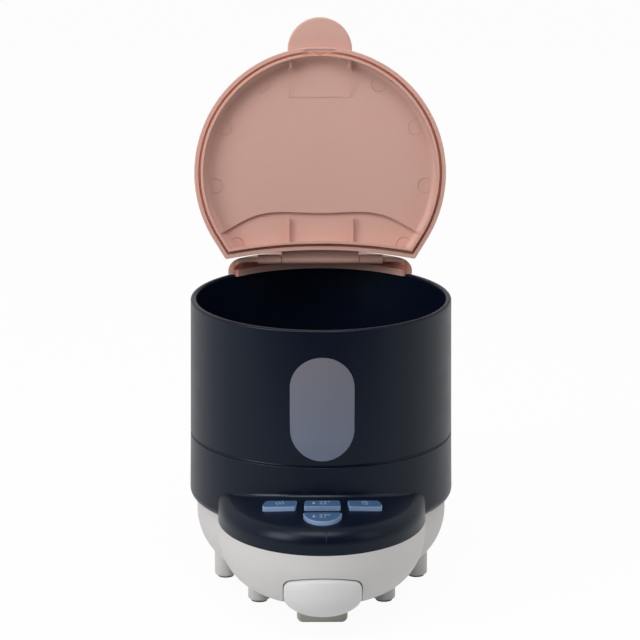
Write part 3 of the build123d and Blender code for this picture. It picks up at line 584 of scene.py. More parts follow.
def grid_tree():
    """Steam grid: three hoops, radial spokes and four feet, all with rounded bars."""
    tree, sizes, leave = node_group("steam_grid", {
        "Outer Radius": 57.0 * MM, "Thickness": 2.0 * MM, "Rim Width": 2.5 * MM, "Rounding": 0.6 * MM,
        "Hub Radius": 14.0 * MM, "Hub Width": 8.0 * MM, "Hoop Radius": 35.0 * MM, "Hoop Width": 2.0 * MM,
        "Spokes": 12, "Spoke Width": 2.2 * MM, "Spoke Start": 17.0 * MM,
        "Foot Height": 1.7 * MM, "Foot Radius": 2.0 * MM, "Foot Inset": 2.4 * MM})
    outer, thick, spokes, feet = sizes["Outer Radius"], sizes["Thickness"], sizes["Spokes"], 4
    number = add_node(tree, "GeometryNodeInputIndex").outputs["Index"]

    def bar(width):
        flat = add_node(tree, "GeometryNodeCurvePrimitiveQuadrilateral", {
            "Width": width, "Height": thick}).outputs["Curve"]
        return add_node(tree, "GeometryNodeFilletCurve", {
            "Curve": flat, "Radius": sizes["Rounding"], "Count": 4, "Limit Radius": True},
            mode="POLY").outputs["Curve"]

    def hoop(radius, width):
        return swept(tree, circle(tree, 96, radius), bar(width))

    def fan(piece, count, first_turn):
        """Copies of a piece round the middle, evenly spaced."""
        points = add_node(tree, "GeometryNodePoints", {"Count": count}).outputs["Points"]
        turn = product(tree, number, math_node(tree, "DIVIDE", 2 * pi, count))
        return set_on(tree, points, piece, vector_node(tree, z=math_node(tree, "ADD", turn, first_turn)))

    rim_middle = math_node(tree, "SUBTRACT", outer, product(tree, sizes["Rim Width"], 0.5))
    spoke_line = add_node(tree, "GeometryNodeCurvePrimitiveLine", {
        "Start": vector_node(tree, sizes["Spoke Start"]), "End": vector_node(tree, rim_middle)})
    spoke = swept(tree, spoke_line.outputs["Curve"], bar(sizes["Spoke Width"]), caps=True)
    foot_high = math_node(tree, "ADD", sizes["Foot Height"], product(tree, thick, 0.5))
    foot = shifted(tree, cylinder(tree, 24, sizes["Foot Radius"], foot_high), vector_node(
        tree, math_node(tree, "SUBTRACT", outer, sizes["Foot Inset"]), z=product(tree, foot_high, -0.5)))
    parts = (
        hoop(rim_middle, sizes["Rim Width"]), hoop(sizes["Hoop Radius"], sizes["Hoop Width"]),
        hoop(sizes["Hub Radius"], sizes["Hub Width"]), fan(spoke, spokes, 0.0), fan(foot, feet, pi / 4))
    joined = add_node(tree, "GeometryNodeJoinGeometry")
    for part in parts:
        tree.links.new(part, joined.inputs["Geometry"])
    grid = set_on(tree, sizes["Geometry"], joined.outputs["Geometry"])
    return close_group(tree, sizes, leave, grid)


def points_mesh(name, points, turns=None):
    """Seed mesh of loose points, each with a turn."""
    mesh = mesh_from(name, points)
    if turns is not None:
        attribute = mesh.attributes.new("turn", "FLOAT_VECTOR", "POINT")
        for item, turn in zip(attribute.data, turns):
            item.vector = turn
    return mesh


def path_mesh(name, points, closed=True):
    """Seed mesh of one line through points."""
    count = len(points)
    edges = [(i, (i + 1) % count) for i in range(count if closed else count - 1)]
    return mesh_from(name, points, edges)


# ---------------------------------------------------------------- operators

class DressHousing(bpy.types.Operator):
    """Satin navy plastic on the chamber and the housing, with the fillet, mould line and seam strip."""

    bl_idname = "warmer.dress_housing"
    bl_label = "Dress housing"

    SHEEN = (0.80, 0.95, 1.0, 1.0)                  # tint of its reflections
    FILLET_SPREAD, FILLET_APART = 42, 2             # degrees to each side, and between its sections
    FILLET_STEPS, FILLET_LEAST = 12, 0.25 * MM      # corners of its arc, and its radius at the ends
    FILLET_PROUD, FILLET_ROOT = 0.12 * MM, 0.5 * MM  # off the surfaces it joins, and into them
    NEIGHBOURS = (-3, -1.5, 0, 1.5, 3)              # degrees
    SEAM_RADIUS, SEAM_LIFT = 64.4 * MM, 0.6 * MM
    MOULD_LINE_X, MOULD_LINE_SUNK = 1.63 * MM, 0.1 * MM
    MOULD_LINE_HEIGHTS = (50.5, 52, 53.5, 55, 56, 56.8)

    def execute(self, context):
        finish = context.scene.warmer_finish
        sizes = context.scene.warmer_small_parts
        navy = moulded_plastic("navy_plastic", finish.navy, 0.33, mottle=0.08, Specular_IOR_Level=0.31,
                               Specular_Tint=self.SHEEN)
        dress(navy, "chamber_shell", "lower_housing")
        glossy = moulded_plastic("navy_edge", finish.navy, 0.28, mottle=0.04, grain_share=0.3,
                                 Specular_Tint=self.SHEEN)
        housing = surface_of("lower_housing")
        joint = new_object("shelf_fillet", self.fillet_mesh(housing, sizes.shelf_fillet), glossy)
        line = grown("mould_line", self.mould_line(housing), bead_tree(),
                     {"Radius": sizes.mould_bead}, navy)
        strip = grown("seam_strip", self.seam(), bead_tree(), {"Radius": sizes.seam_bead}, navy)
        for thing in (joint, line, strip):
            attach(thing, "housing")
        return {"FINISHED"}

    @classmethod
    def fillet_mesh(cls, housing, largest):
        """Hollow fillet between the drum and the console shelf, dying out to both sides."""
        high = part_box("lower_housing")[1]
        axis, down, foot = Vector((0, AXIS_Y, 0)), Vector((0, 0, -1)), high.x + 0.1 * MM

        def outwards(angle):
            return Vector((sin(radians(angle)), -cos(radians(angle)), 0))

        def ground(angle, distance):
            """Height of the shelf at a distance from the axis, evened over its neighbours."""
            starts = [axis + outwards(angle + turn) * distance + Vector((0, 0, high.z))
                      for turn in cls.NEIGHBOURS]
            return sum(laid_on(housing, start, down, 0.0).z for start in starts) / len(starts)

        def section(angle):
            """Hollow arc from the drum's wall to the shelf, on a root that is sunk into both."""
            radius = largest * sqrt(max(0.0, 1 - (angle / cls.FILLET_SPREAD) ** 4))
            radius = max(cls.FILLET_LEAST, radius)
            near = ground(angle, foot)
            slope = atan2(near - ground(angle, high.x + 2 * radius), 2 * radius)
            reach = wall + cls.FILLET_PROUD + radius
            centre = near + cls.FILLET_PROUD + radius * (1 - sin(slope)) / cos(slope)
            shares = [step / cls.FILLET_STEPS for step in range(cls.FILLET_STEPS + 1)]
            turns = [pi + (pi / 2 - slope) * share for share in shares]
            arc = [(reach + radius * cos(t), centre + radius * sin(t)) for t in turns]
            top, low = arc[0], arc[-1]
            root = [(low[0], low[1] - cls.FILLET_ROOT), (wall - cls.FILLET_ROOT, near - cls.FILLET_ROOT)]
            line = [(wall - cls.FILLET_ROOT, top[1]), *arc, *root]
            return [axis + outwards(angle) * x + Vector((0, 0, z)) for x, z in line]

        level = Vector((0, 0, ground(0, foot) + largest))
        outside = axis + outwards(0) * 0.1 + level
        wall = (laid_on(housing, outside, -outwards(0), 0.0) - axis - level).length
        angles = range(-cls.FILLET_SPREAD, cls.FILLET_SPREAD + 1, cls.FILLET_APART)
        mesh = lofted("shelf_fillet", [section(angle) for angle in angles])
        shade_smooth(mesh, 50)
        return mesh

    @classmethod
    def seam(cls):
        """Round line in the gap between the chamber and the housing, behind the drum's face."""
        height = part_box("lower_housing")[1].z + cls.SEAM_LIFT
        return path_mesh("seam_path", round_axis(cls.SEAM_RADIUS, range(0, 360, 2), height))

    @classmethod
    def mould_line(cls, housing):
        """Short upright line on the console's rounded front, sunk into it a little."""
        starts = [Vector((cls.MOULD_LINE_X, AXIS_Y - 0.12, z * MM)) for z in cls.MOULD_LINE_HEIGHTS]
        points = [laid_on(housing, start, Vector((0, 1, 0)), -cls.MOULD_LINE_SUNK) for start in starts]
        return path_mesh("mould_line_path", points, closed=False)


class DressWindow(bpy.types.Operator):
    """Frosted pane, its seal and the fine bead round its edge."""

    bl_idname = "warmer.dress_window"
    bl_label = "Dress sight window"

    INSET, SUNK, STEPS = 0.3 * MM, 0.12 * MM, 40    # from the pane's edge, into the shell, in each end
    WIDER, TALLER = 1.01, 0.2 * MM                  # so that the line lands beside the shell's opening

    def execute(self, context):
        finish = context.scene.warmer_finish
        sizes = context.scene.warmer_small_parts
        dress(frosted_plastic("frosted_pane", finish.pane, 0.38, 0.25), "window_pane")
        dress(soft_rubber("grey_silicone", finish.silicone, 0.6), "window_seal", "plate_seal")
        edge = frosted_plastic("pane_edge", finish.pane_edge, 0.4, 0.1)
        bead = grown("window_bead", self.outline(), bead_tree(), {"Radius": sizes.bead}, edge)
        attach(bead, "housing")
        return {"FINISHED"}

    @classmethod
    def outline(cls):
        """Closed line round the pane, on the shell's curved face."""
        half = (PANE_HIGH.x - PANE_LOW.x) / 2 - cls.INSET
        straight = (PANE_HIGH.z - PANE_LOW.z) / 2 - half - cls.INSET
        middle = (PANE_HIGH.z + PANE_LOW.z) / 2
        shell = surface_of("chamber_shell")
        points = []
        for end in (1, -1):
            for step in range(cls.STEPS + 1):
                angle = pi * step / cls.STEPS
                x = end * half * cos(angle)
                z = middle + end * (straight + half * sin(angle))
                start = Vector((x * cls.WIDER, AXIS_Y - 0.1, z + end * cls.TALLER * sin(angle)))
                points.append(laid_on(shell, start, Vector((0, 1, 0)), -cls.SUNK))
        return path_mesh("window_outline", points)


class DressLid(bpy.types.Operator):
    """Satin pink plastic on the lid, with the marks that its mould leaves inside, and painted shade in
    its groove and on its rear wall.
    """

    bl_idname = "warmer.dress_lid"
    bl_label = "Dress lid"

    # The closed lid, measured from the chamber's axis.
    DOME = 1300 * MM                                # radius of its domed top
    SKINS = (0.0, 1.2 * MM, 2.8 * MM)               # its outer face, the wings' inner face and the room's
    RADIUS, SHOULDER = 63.3 * MM, radians(122)      # round edge, and where it runs out straight
    BACK, BACK_CENTRE = 260 * MM, 298.8 * MM        # radius and centre of the hollow back edge
    GROOVE, GROOVE_TOP = (2.0 * MM, 3.3 * MM), 148.4 * MM
    SEAL_HEIGHT = 146.75 * MM
    # Marks inside it, in millimetres from the axis.
    EJECTORS = ((29.5, -44.6), (48.0, -23.0), (52.9, 6.3), (42.1, 36.2))
    INSERT = ((-15.5, -57.0), (-15.5, -38.1), (15.5, -38.1), (15.5, -57.0))
    MARK_LIFT = 0.07 * MM
    REAR_WALL = 61.6 * MM                           # radius of the rear segment's inner wall

    def execute(self, context):
        finish = context.scene.warmer_finish
        marks = context.scene.warmer_marks
        sizes = context.scene.warmer_small_parts
        satin = {"mottle": 0.03, "Specular_IOR_Level": 0.4, "Subsurface_Weight": 0.2,
                 "Subsurface_Radius": (1.0, 0.35, 0.2), "Subsurface_Scale": 1.5 * MM}
        pink = moulded_plastic("pink_plastic", finish.pink, 0.42, **satin)
        # Painted shade: darker pink for the groove's faces and the seal bead.
        deep = moulded_plastic("pink_groove", finish.pink_shade, 0.5, mottle=0.03, Specular_IOR_Level=0.3)
        # Painted shade on the rear segment's inner wall.
        rear_with_shade = moulded_plastic("pink_rear", finish.pink, 0.42,
                                 inside=(finish.pink_shade, self.REAR_WALL), **satin)
        dress(rear_with_shade, "lid_rear")
        cover = new_object("lid_cover", self.cover_mesh("lid_front"), pink)
        cover.data.materials.append(deep)
        # Faces in the seal groove take the painted shade.
        for face in cover.data.polygons:
            face.material_index = int(self.in_groove(opened(face.center, -1)))
        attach(cover, "lid")
        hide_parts("lid_front")
        inside = surface_of("lid_front")
        places = [self.inner(inside, side * x, y) for x, y in self.EJECTORS for side in (-1, 1)]
        turns = [(-LID_OPEN, 0, 0)] * len(places)
        rings = grown("ejector_marks", points_mesh("ejector_points", places, turns), ring_tree(),
                      {"Ring Radius": marks.ejector_radius, "Line": marks.witness_line / 2}, pink)
        corners = [self.inner(inside, x, y) for x, y in self.INSERT]
        line = grown("insert_line", path_mesh("insert_path", corners, closed=False), bead_tree(),
                     {"Radius": marks.witness_line / 2}, pink)
        # Seal bead in the groove, in the painted shade colour, filling where the groove lies in shade.
        seal = grown("lid_seal", self.groove_path(), bead_tree(), {"Radius": sizes.lid_seal}, deep, 60)
        for thing in (rings, line, seal):
            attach(thing, "lid")
        return {"FINISHED"}

    @classmethod
    def cover_mesh(cls, node):
        """Welded copy of the lid, whose domed faces take their shading from the dome's own centre."""
        near, doubles = 0.01 * MM, 0.001 * MM
        mesh = frame["nodes"][node].data.copy()
        normals = [corner.vector.copy() for corner in mesh.corner_normals]
        centres = [opened((0, AXIS_Y, CLOSED_TOP - skin - cls.DOME)) for skin in cls.SKINS]
        for face in mesh.polygons:
            for centre in centres:
                arms = [mesh.vertices[index].co - centre for index in face.vertices]
                if all(abs(arm.length - cls.DOME) < near for arm in arms):
                    side = 1 if arms[0].dot(face.normal) > 0 else -1
                    for corner, arm in zip(face.loop_indices, arms):
                        normals[corner] = arm.normalized() * side
        stored = mesh.attributes.new("shading", "FLOAT_VECTOR", "CORNER")
        for item, normal in zip(stored.data, normals):
            item.vector = normal
        shape = bmesh.new()
        shape.from_mesh(mesh)
        bmesh.ops.remove_doubles(shape, verts=shape.verts, dist=doubles)
        shape.to_mesh(mesh)
        shape.free()
        stored = mesh.attributes["shading"]
        kept = [item.vector.copy() for item in stored.data]
        mesh.attributes.remove(stored)
        mesh.normals_split_custom_set(kept)
        return mesh

    @classmethod
    def groove_path(cls):
        """Closed line along the middle of the groove, near its mouth, on the open lid."""
        round_steps, back_steps = int(cls.SHOULDER * 40), 20
        radius, back = cls.RADIUS - sum(cls.GROOVE) / 2, cls.BACK + sum(cls.GROOVE) / 2
        out = Vector((sin(cls.SHOULDER), -cos(cls.SHOULDER)))
        along = Vector((cos(cls.SHOULDER), sin(cls.SHOULDER)))
        start = out * radius - Vector((0, cls.BACK_CENTRE))
        reach = -start.dot(along) - sqrt(start.dot(along) ** 2 - start.length_squared + back ** 2)
        corner = out * radius + along * reach
        turns = [cls.SHOULDER * step / round_steps for step in range(-round_steps, round_steps + 1)]
        front = [(radius * sin(t), -radius * cos(t)) for t in turns]
        wide = asin(corner.x / back)
        turns = [wide * step / back_steps for step in range(back_steps, -back_steps - 1, -1)]
        rear = [(back * sin(t), cls.BACK_CENTRE - back * cos(t)) for t in turns]
        points = [opened((x, y + AXIS_Y, cls.SEAL_HEIGHT)) for x, y in front + rear]
        return path_mesh("groove_path", points)

    @classmethod
    def in_groove(cls, point):
        """Whether a point of the closed lid is in the seal groove that follows its edge."""
        x, y = abs(point.x), point.y - AXIS_Y
        around = sqrt(x * x + y * y)
        if around > 0 and -y / around < cos(cls.SHOULDER):
            around = x * sin(cls.SHOULDER) - y * cos(cls.SHOULDER)
        inset = min(cls.RADIUS - around, sqrt(x * x + (y - cls.BACK_CENTRE) ** 2) - cls.BACK)
        return point.z < cls.GROOVE_TOP and cls.GROOVE[0] < inset < cls.GROOVE[1]

    @classmethod
    def inner(cls, inside, x, y):
        """Point on the dome's inner face, given on the closed lid in millimetres from the axis."""
        below = Vector((x * MM, y * MM + AXIS_Y, SHELL_HIGH.z - 4 * MM))
        up = opened(below + Vector((0, 0, 1))) - opened(below)
        return laid_on(inside, opened(below), up.normalized(), cls.MARK_LIFT)


class DressCasing(bpy.types.Operator):
    """Pale plastic on the base, its bottom cover, cable gland, nose and front foot."""

    bl_idname = "warmer.dress_casing"
    bl_label = "Dress base"

    def execute(self, context):
        finish = context.scene.warmer_finish
        pale = moulded_plastic("pale_plastic", finish.casing, 0.5, mottle=0.02, Specular_IOR_Level=0.35)
        dress(pale, "base_casing", "bottom_cover", "cable_gland")
        nose = moulded_plastic("nose_plastic", finish.nose, 0.36, mottle=0.015, grain_share=0.3,
                               Specular_IOR_Level=0.45)
        dress(nose, "spout_cover")
        foot = moulded_plastic("foot_plastic", finish.foot, 0.6, mottle=0.04, Specular_IOR_Level=0.3)
        dress(foot, "front_foot")
        dress(moulded_plastic("outlet_plastic", finish.foot, 0.5), "spout_nozzle")
        return {"FINISHED"}


class DressKeys(bpy.types.Operator):
    """Translucent blue keys with printed numbers and signs."""

    bl_idname = "warmer.dress_keys"
    bl_label = "Dress keys"

    BODIES = {"button_left": "left_key", "button_centre": "centre_key",
              "button_right": "right_key", "button_start": "start_key"}

    def execute(self, context):
        finish = context.scene.warmer_finish
        marks = context.scene.warmer_marks
        dress(self.key_plastic(finish), *self.BODIES)
        ink = moulded_plastic("key_print", finish.mark, 0.5, mottle=0.03, grain_share=0.2)
        signs = {
            "button_left": self.steam_sign(),
            "button_centre": self.number_sign(marks.cool, marks.digits),
            "button_right": self.clock_sign(),
            "button_start": self.number_sign(marks.warm, marks.digits),
        }
        for name, body in self.BODIES.items():
            sign = self.print_on(name, signs[name], marks.print_height, ink)
            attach(sign, body)
        return {"FINISHED"}

    @staticmethod
    def key_plastic(finish):
        """Milky blue plastic, dark on top and painted lighter in the sides, standing in for light that
        leaves it there.
        """
        material, tree, place = blank_material("key_plastic")
        outwards = add_node(tree, "ShaderNodeNewGeometry").outputs["Normal"]
        facing = add_node(tree, "ShaderNodeVectorMath", {0: outwards, 1: SHELF_NORMAL},
                          operation="DOT_PRODUCT").outputs["Value"]
        # Painted light: faces turned away from the shelf's normal take the lighter side colour.
        top = add_node(tree, "ShaderNodeMapRange", {
            "Value": facing, "From Min": 0.55, "From Max": 0.97}).outputs["Result"]
        cloud = noise(tree, place, 3.0 * MM, 3.0)
        deep = tinted(tree, cloud, rgba(finish.key, 0.94), rgba(finish.key, 1.06))
        colour_out = tinted(tree, top, rgba(finish.key_side_light), deep)
        roughness_out = ranged(tree, cloud, 0.24, 0.36)
        normal = bumped(tree, noise(tree, place, finish.grain, 3.0), finish.grain_height * 0.4)
        finish_with(tree, colour_out, roughness_out, normal, Coat_Weight=0.2, Coat_Roughness=0.25)
        return material

    @staticmethod
    def number_sign(number, digits):
        """Flat outline of a number of degrees with a drop before it."""
        number_x, drop_x, drop_radius = 1.0 * MM, -4.2 * MM, digits * 0.23
        curve = bpy.data.curves.new("number", "FONT")
        curve.body = f"{number}°"
        curve.size = digits * 1.35
        curve.align_x = "CENTER"
        curve.align_y = "CENTER"
        curve.resolution_u = 4
        text = bpy.data.objects.new("number", curve)
        bpy.context.scene.collection.objects.link(text)
        bpy.context.view_layer.update()
        flat = bpy.data.meshes.new_from_object(text.evaluated_get(bpy.context.evaluated_depsgraph_get()))
        shape = bmesh.new()
        shape.from_mesh(flat)
        bpy.data.objects.remove(text)
        bmesh.ops.translate(shape, verts=shape.verts, vec=(number_x, 0, 0))
        turns = [radians(angle) for angle in range(125, -126, -25)]
        rim = [(0, 2.4), *[(sin(turn), -cos(turn)) for turn in turns]]
        corners = [(drop_x + drop_radius * x, drop_radius * (y - 0.4), 0) for x, y in rim]
        shape.faces.new([shape.verts.new(corner) for corner in corners])
        return shape

    @staticmethod
    def ribbon(shape, line, width):
        """Flat band of even width along a line of points."""
        pairs = []
        for index, point in enumerate(line):
            ahead = line[min(index + 1, len(line) - 1)] - line[max(index - 1, 0)]
            side = Vector((-ahead.y, ahead.x, 0)).normalized() * (width / 2)
            pairs.append((shape.verts.new(point - side), shape.verts.new(point + side)))
        for (a, b), (c, d) in zip(pairs, pairs[1:]):
            shape.faces.new((a, c, d, b))

    @classmethod
    def steam_sign(cls):
        """Three waves of steam."""
        apart, sway, tall, width, steps = 1.5 * MM, 0.35 * MM, 2.6 * MM, 0.42 * MM, 12
        shape = bmesh.new()
        for place in (-1, 0, 1):
            shares = [step / steps for step in range(steps + 1)]
            wave = [Vector((place * apart + sway * sin(2 * pi * s), (s - 0.5) * tall, 0)) for s in shares]
            cls.ribbon(shape, wave, width)
        return shape

    @classmethod
    def clock_sign(cls):
        """Ring with two hands."""
        radius, width, steps = 1.35 * MM, 0.34 * MM, 28
        hands = (Vector((0, 0.95 * MM, 0)), Vector((0.7 * MM, 0, 0)))
        shape = bmesh.new()
        turns = [2 * pi * step / steps for step in range(steps + 1)]
        cls.ribbon(shape, [Vector((radius * cos(t), radius * sin(t), 0)) for t in turns], width)
        for hand in hands:
            cls.ribbon(shape, [Vector((0, 0, 0)), hand], width)
        return shape

    @staticmethod
    def print_on(name, shape, height, ink):
        """Lays a flat sign on a key's crowned face and gives it its thickness."""
        above, sunk = 5 * MM, 0.01 * MM
        low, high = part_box(name)
        middle = (low + high) / 2
        surface = surface_of(name)
        across = Vector((1, 0, 0))
        along = SHELF_NORMAL.cross(across)
        start = Vector((middle.x, middle.y, high.z)) + SHELF_NORMAL * above
        for vertex in shape.verts:
            place = start + across * vertex.co.x + along * vertex.co.y
            vertex.co = laid_on(surface, place, -SHELF_NORMAL, -sunk)
        lifted = bmesh.ops.extrude_face_region(shape, geom=shape.faces[:])["geom"]
        lifted = [item for item in lifted if isinstance(item, bmesh.types.BMVert)]
        bmesh.ops.translate(shape, verts=lifted, vec=SHELF_NORMAL * (height + sunk))
        bmesh.ops.recalc_face_normals(shape, faces=shape.faces)
        return new_object(f"{name}_print", mesh_of(shape, f"{name}_print"), ink)


class PlaceFootPads(bpy.types.Operator):
    """Grooved rubber pads under the six posts."""

    bl_idname = "warmer.place_foot_pads"
    bl_label = "Place foot pads"

    ANGLES = (40, 90, 140, 220, 270, 320)
    CIRCLE = 48 * MM

    def execute(self, context):
        finish = context.scene.warmer_finish
        sizes = context.scene.warmer_small_parts
        low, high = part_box("foot_pads")
        radius = (high.x - low.x) / 2 - self.CIRCLE
        places = round_axis(self.CIRCLE, self.ANGLES, low.z)
        pads = grown("rubber_pads", points_mesh("pad_points", places), pad_tree(),
                     {"Radius": radius, "Thickness": high.z - low.z, "Groove": sizes.pad_groove},
                     soft_rubber("pad_rubber", finish.rubber, 0.75))
        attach(pads, "housing")
        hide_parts("foot_pads")
        return {"FINISHED"}


class PlaceScrews(bpy.types.Operator):
    """Cross-head screws of the bottom cover, the main board and the heater strap."""

    bl_idname = "warmer.place_screws"
    bl_label = "Place screws"

    FACING_DOWN, FACING_UP = (pi, 0, 0.4), (0, 0, 0.3)
    COVER_CIRCLE, COVER_ANGLES = 26.5 * MM, (0, 120, 240)
    BOARD_SPOTS = [(x, y) for x in (-27, 27) for y in (-21, 21)]    # millimetres from the axis
    STRAP_SPOTS = [(-51, 0), (51, 0)]
    COVER_HEAD, BOARD_HEAD, STRAP_HEAD = 2.6 * MM, 2.7 * MM, 2.8 * MM
    DEEPEST = 0.7                                   # share of a head's height that its cross may reach

    def execute(self, context):
        sizes = context.scene.warmer_small_parts
        steel = brushed_metal("screw_steel", context.scene.warmer_finish.steel, 0.32)
        tree = screw_tree()
        cover = round_axis(self.COVER_CIRCLE, self.COVER_ANGLES, 0)
        board, strap = ([Vector((x * MM, AXIS_Y + y * MM, 0)) for x, y in spots]
                        for spots in (self.BOARD_SPOTS, self.STRAP_SPOTS))
        groups = (
            ("bottom_cover_screws", "cover_screws", cover, self.FACING_DOWN, self.COVER_HEAD),
            ("main_board_screws", "board_screws", board, self.FACING_UP, self.BOARD_HEAD),
            ("heater_screws", "strap_screws", strap, self.FACING_DOWN, self.STRAP_HEAD),
        )
        for name, node, spots, turn, radius in groups:
            low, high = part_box(node)
            tall = high.z - low.z
            seat = Vector((0, 0, high.z if turn == self.FACING_DOWN else low.z))
            points = points_mesh(f"{name}_points", [spot + seat for spot in spots], [turn] * len(spots))
            screws = grown(name, points, tree, {
                "Radius": radius, "Height": tall, "Recess Width": sizes.recess_wide,
                "Recess Depth": min(sizes.recess_deep, tall * self.DEEPEST)}, steel)
            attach(screws, "housing")
            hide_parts(node)
        return {"FINISHED"}


class PlaceSteamGrid(bpy.types.Operator):
    """Lift-out grid that keeps the bottle off the heating plate."""

    bl_idname = "warmer.place_steam_grid"
    bl_label = "Place steam grid"

    THICK = 2.0 * MM

    def execute(self, context):
        finish = context.scene.warmer_finish
        sizes = context.scene.warmer_small_parts
        low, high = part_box("steam_grid")
        middle = Vector((0, AXIS_Y, high.z - self.THICK / 2))
        plastic = moulded_plastic("grid_plastic", finish.grid, 0.45, mottle=0.03)
        grid = grown("steam_rack", points_mesh("grid_point", [middle]), grid_tree(), {
            "Outer Radius": (high.x - low.x) / 2, "Thickness": self.THICK, "Spokes": sizes.spokes,
            "Spoke Width": sizes.spoke_wide, "Rounding": sizes.grid_round,
            "Foot Height": high.z - low.z - self.THICK}, plastic)
        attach(grid, "grid")
        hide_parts("steam_grid")
        return {"FINISHED"}


class DressHeating(bpy.types.Operator):
    """Metals of the heating plate, hinge pin, strap and element."""

    bl_idname = "warmer.dress_heating"
    bl_label = "Dress heating parts"

    def execute(self, context):
        finish = context.scene.warmer_finish
        dress(brushed_metal("plate_steel", finish.steel, 0.30, turned=True), "heating_plate")
        dress(brushed_metal("pin_steel", finish.steel, 0.25), "lid_hinge_pin", "heater_strap")
        dress(brushed_metal("element_metal", finish.element, 0.45), "heater_element", "thermostat")
        dress(soft_rubber("fuse_ceramic", finish.ceramic, 0.6), "thermal_fuse")
        dress(soft_rubber("tube_silicone", finish.tube, 0.4, 0.35), "drain_tube")
        return {"FINISHED"}


class DressElectrics(bpy.types.Operator):
    """Boards, switches, components and their posts."""

    bl_idname = "warmer.dress_electrics"
    bl_label = "Dress electrics"

    def execute(self, context):
        finish = context.scene.warmer_finish
        dress(circuit_board("board_green"), "main_board", "key_board")
        black = moulded_plastic("component_black", finish.component, 0.5)
        dress(black, "board_components", "key_switches")
        dress(moulded_plastic("post_plastic", finish.post, 0.5), "board_posts")
        return {"FINISHED"}


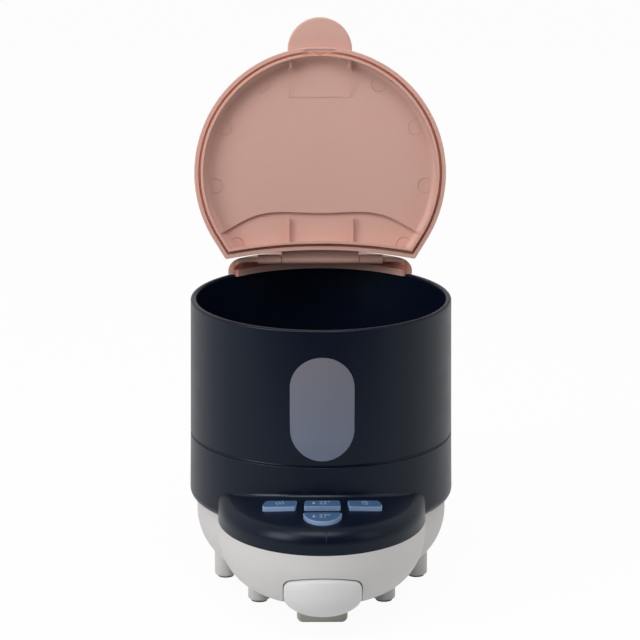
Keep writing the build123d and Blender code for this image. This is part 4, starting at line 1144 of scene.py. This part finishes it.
class BuildStage(bpy.types.Operator):
    """Pale floor, soft lamps, white room and the camera."""

    bl_idname = "warmer.build_stage"
    bl_label = "Build stage"

    FLOOR_HALF, FLOOR_FRONT = 6.0, -0.37            # half its width, and its near edge
    FLOOR_GLOW, FLOOR_DIMMED = 0.95, 0.25           # share that glows, and how much less gloss sees
    FLOOR_PAINT = (0.85, 0.85, 0.85, 1)
    ROOM_LIT = (0.25, 1.0, -0.9, 0.1)               # light in front and behind, from and to this depth
    ROOM_MIRRORED = (0.03, 0.6, -0.7, 0.5)          # the same for what shiny surfaces mirror
    TARGET = Vector((0, AXIS_Y, 0.12))
    LAMPS = {                                       # place, width and height
        "left_lamp": ((-1.3, -0.9, 0.9), (0.9, 1.1)),
        "right_lamp": ((1.4, -0.7, 0.8), (0.8, 1.1)),
        "top_lamp": ((-0.15, -0.75, 1.6), (1.3, 0.7)),
    }

    def execute(self, context):
        stage = context.scene.warmer_stage
        self.floor()
        self.room(context.scene, stage.room)
        for name, (place, size) in self.LAMPS.items():
            self.lamp(name, place, size, getattr(stage, name))
        self.camera(context.scene, stage)
        context.scene.view_settings.view_transform = "Standard"
        return {"FINISHED"}

    @classmethod
    def floor(cls):
        """Wide pale table top that looks white, keeps a soft shadow and ends a little way in front."""
        half, front = cls.FLOOR_HALF, cls.FLOOR_FRONT
        corners = [(-half, front, 0), (half, front, 0), (half, half, 0), (-half, half, 0)]
        material = bpy.data.materials.new("pale_floor")
        tree = empty_tree(material)
        path = add_node(tree, "ShaderNodeLightPath").outputs
        seen = math_node(tree, "ADD", path["Is Glossy Ray"], path["Is Transmission Ray"])
        seen = math_node(tree, "MINIMUM", math_node(tree, "ADD", path["Is Camera Ray"], seen), 1.0)
        dimmed = product(tree, path["Is Glossy Ray"], cls.FLOOR_DIMMED)
        strength = math_node(tree, "SUBTRACT", 1.0, dimmed)
        paint = add_node(tree, "ShaderNodeBsdfDiffuse", {"Color": cls.FLOOR_PAINT}).outputs["BSDF"]
        glow = add_node(tree, "ShaderNodeEmission", {
            "Color": (1, 1, 1, 1), "Strength": strength}).outputs["Emission"]
        mix = add_node(tree, "ShaderNodeMixShader", {
            0: product(tree, seen, cls.FLOOR_GLOW), 1: paint, 2: glow}).outputs["Shader"]
        add_node(tree, "ShaderNodeOutputMaterial", {"Surface": mix})
        floor = new_object("floor", mesh_from("floor", corners, faces=[(0, 1, 2, 3)]), material)

    @classmethod
    def room(cls, scene, strength):
        """White room behind and beside the table, dim on the camera's side for what lights the object."""
        world = bpy.data.worlds.new("room")
        tree = empty_tree(world)
        path = add_node(tree, "ShaderNodeLightPath").outputs
        direction = add_node(tree, "ShaderNodeTexCoord").outputs["Generated"]
        depth = add_node(tree, "ShaderNodeSeparateXYZ", {"Vector": direction}).outputs["Y"]

        def brightness(front, back, start, end):
            return add_node(tree, "ShaderNodeMapRange", {
                "Value": depth, "From Min": start, "From Max": end, "To Min": front, "To Max": back},
                interpolation_type="SMOOTHSTEP").outputs["Result"]

        shiny = math_node(tree, "MAXIMUM", path["Is Glossy Ray"], path["Is Transmission Ray"])
        mirrored = product(tree, shiny, brightness(*cls.ROOM_MIRRORED))
        lit = product(tree, brightness(*cls.ROOM_LIT), strength)
        matt = product(tree, math_node(tree, "SUBTRACT", 1.0, shiny), lit)
        level = math_node(tree, "MAXIMUM", math_node(tree, "ADD", mirrored, matt), path["Is Camera Ray"])
        sky = add_node(tree, "ShaderNodeBackground", {"Color": (1, 1, 1, 1), "Strength": level})
        add_node(tree, "ShaderNodeOutputWorld", {"Surface": sky.outputs["Background"]})
        scene.world = world

    @classmethod
    def lamp(cls, name, place, size, power):
        """Rectangular soft lamp that faces the appliance."""
        light = bpy.data.lights.new(name, "AREA")
        light.shape = "RECTANGLE"
        light.size, light.size_y = size
        light.energy = power
        lamp = bpy.data.objects.new(name, light)
        bpy.context.scene.collection.objects.link(lamp)
        lamp.location = place
        lamp.rotation_euler = (cls.TARGET - Vector(place)).to_track_quat("-Z", "Y").to_euler()

    @staticmethod
    def camera(scene, stage):
        """Long lens in front of the appliance, looking slightly down on it."""
        data = bpy.data.cameras.new("camera")
        data.lens = stage.lens
        data.sensor_width = 36
        data.clip_start, data.clip_end = 0.05, 50
        camera = bpy.data.objects.new("camera", data)
        scene.collection.objects.link(camera)
        camera.location = (-stage.aside, -stage.distance, stage.height)
        camera.rotation_euler = Euler((pi / 2 - stage.pitch, 0, -stage.yaw))
        scene.camera = camera


# ---------------------------------------------------------------- panel and registration

SETTINGS = {
    "warmer_finish": WarmerFinish,
    "warmer_marks": WarmerMarks,
    "warmer_small_parts": WarmerSmallParts,
    "warmer_stage": WarmerStage,
}
STEPS = (
    BuildStage, DressHousing, DressWindow, DressLid, DressCasing, DressKeys, PlaceFootPads,
    PlaceScrews, PlaceSteamGrid, DressHeating, DressElectrics,
)


class WarmerPanel(bpy.types.Panel):
    """Sidebar panel with the warmer's settings and building steps."""

    bl_idname = "VIEW3D_PT_warmer"
    bl_label = "Bottle warmer"
    bl_space_type = "VIEW_3D"
    bl_region_type = "UI"
    bl_category = "Warmer"

    def draw(self, context):
        for step in STEPS:
            self.layout.operator(step.bl_idname)
        for name, group in SETTINGS.items():
            box = self.layout.box()
            box.label(text=group.__doc__)
            for field in group.__annotations__:
                box.prop(getattr(context.scene, name), field)


def register():
    for group in (*SETTINGS.values(), *STEPS, WarmerPanel):
        bpy.utils.register_class(group)
    for name, group in SETTINGS.items():
        setattr(bpy.types.Scene, name, PointerProperty(type=group))


def unregister():
    for name in SETTINGS:
        delattr(bpy.types.Scene, name)
    for group in (WarmerPanel, *reversed(STEPS), *reversed(SETTINGS.values())):
        bpy.utils.unregister_class(group)


def main():
    register()
    for step in STEPS:
        area, verb = step.bl_idname.split(".")
        getattr(getattr(bpy.ops, area), verb)()


if __name__ == "__main__":
    main()
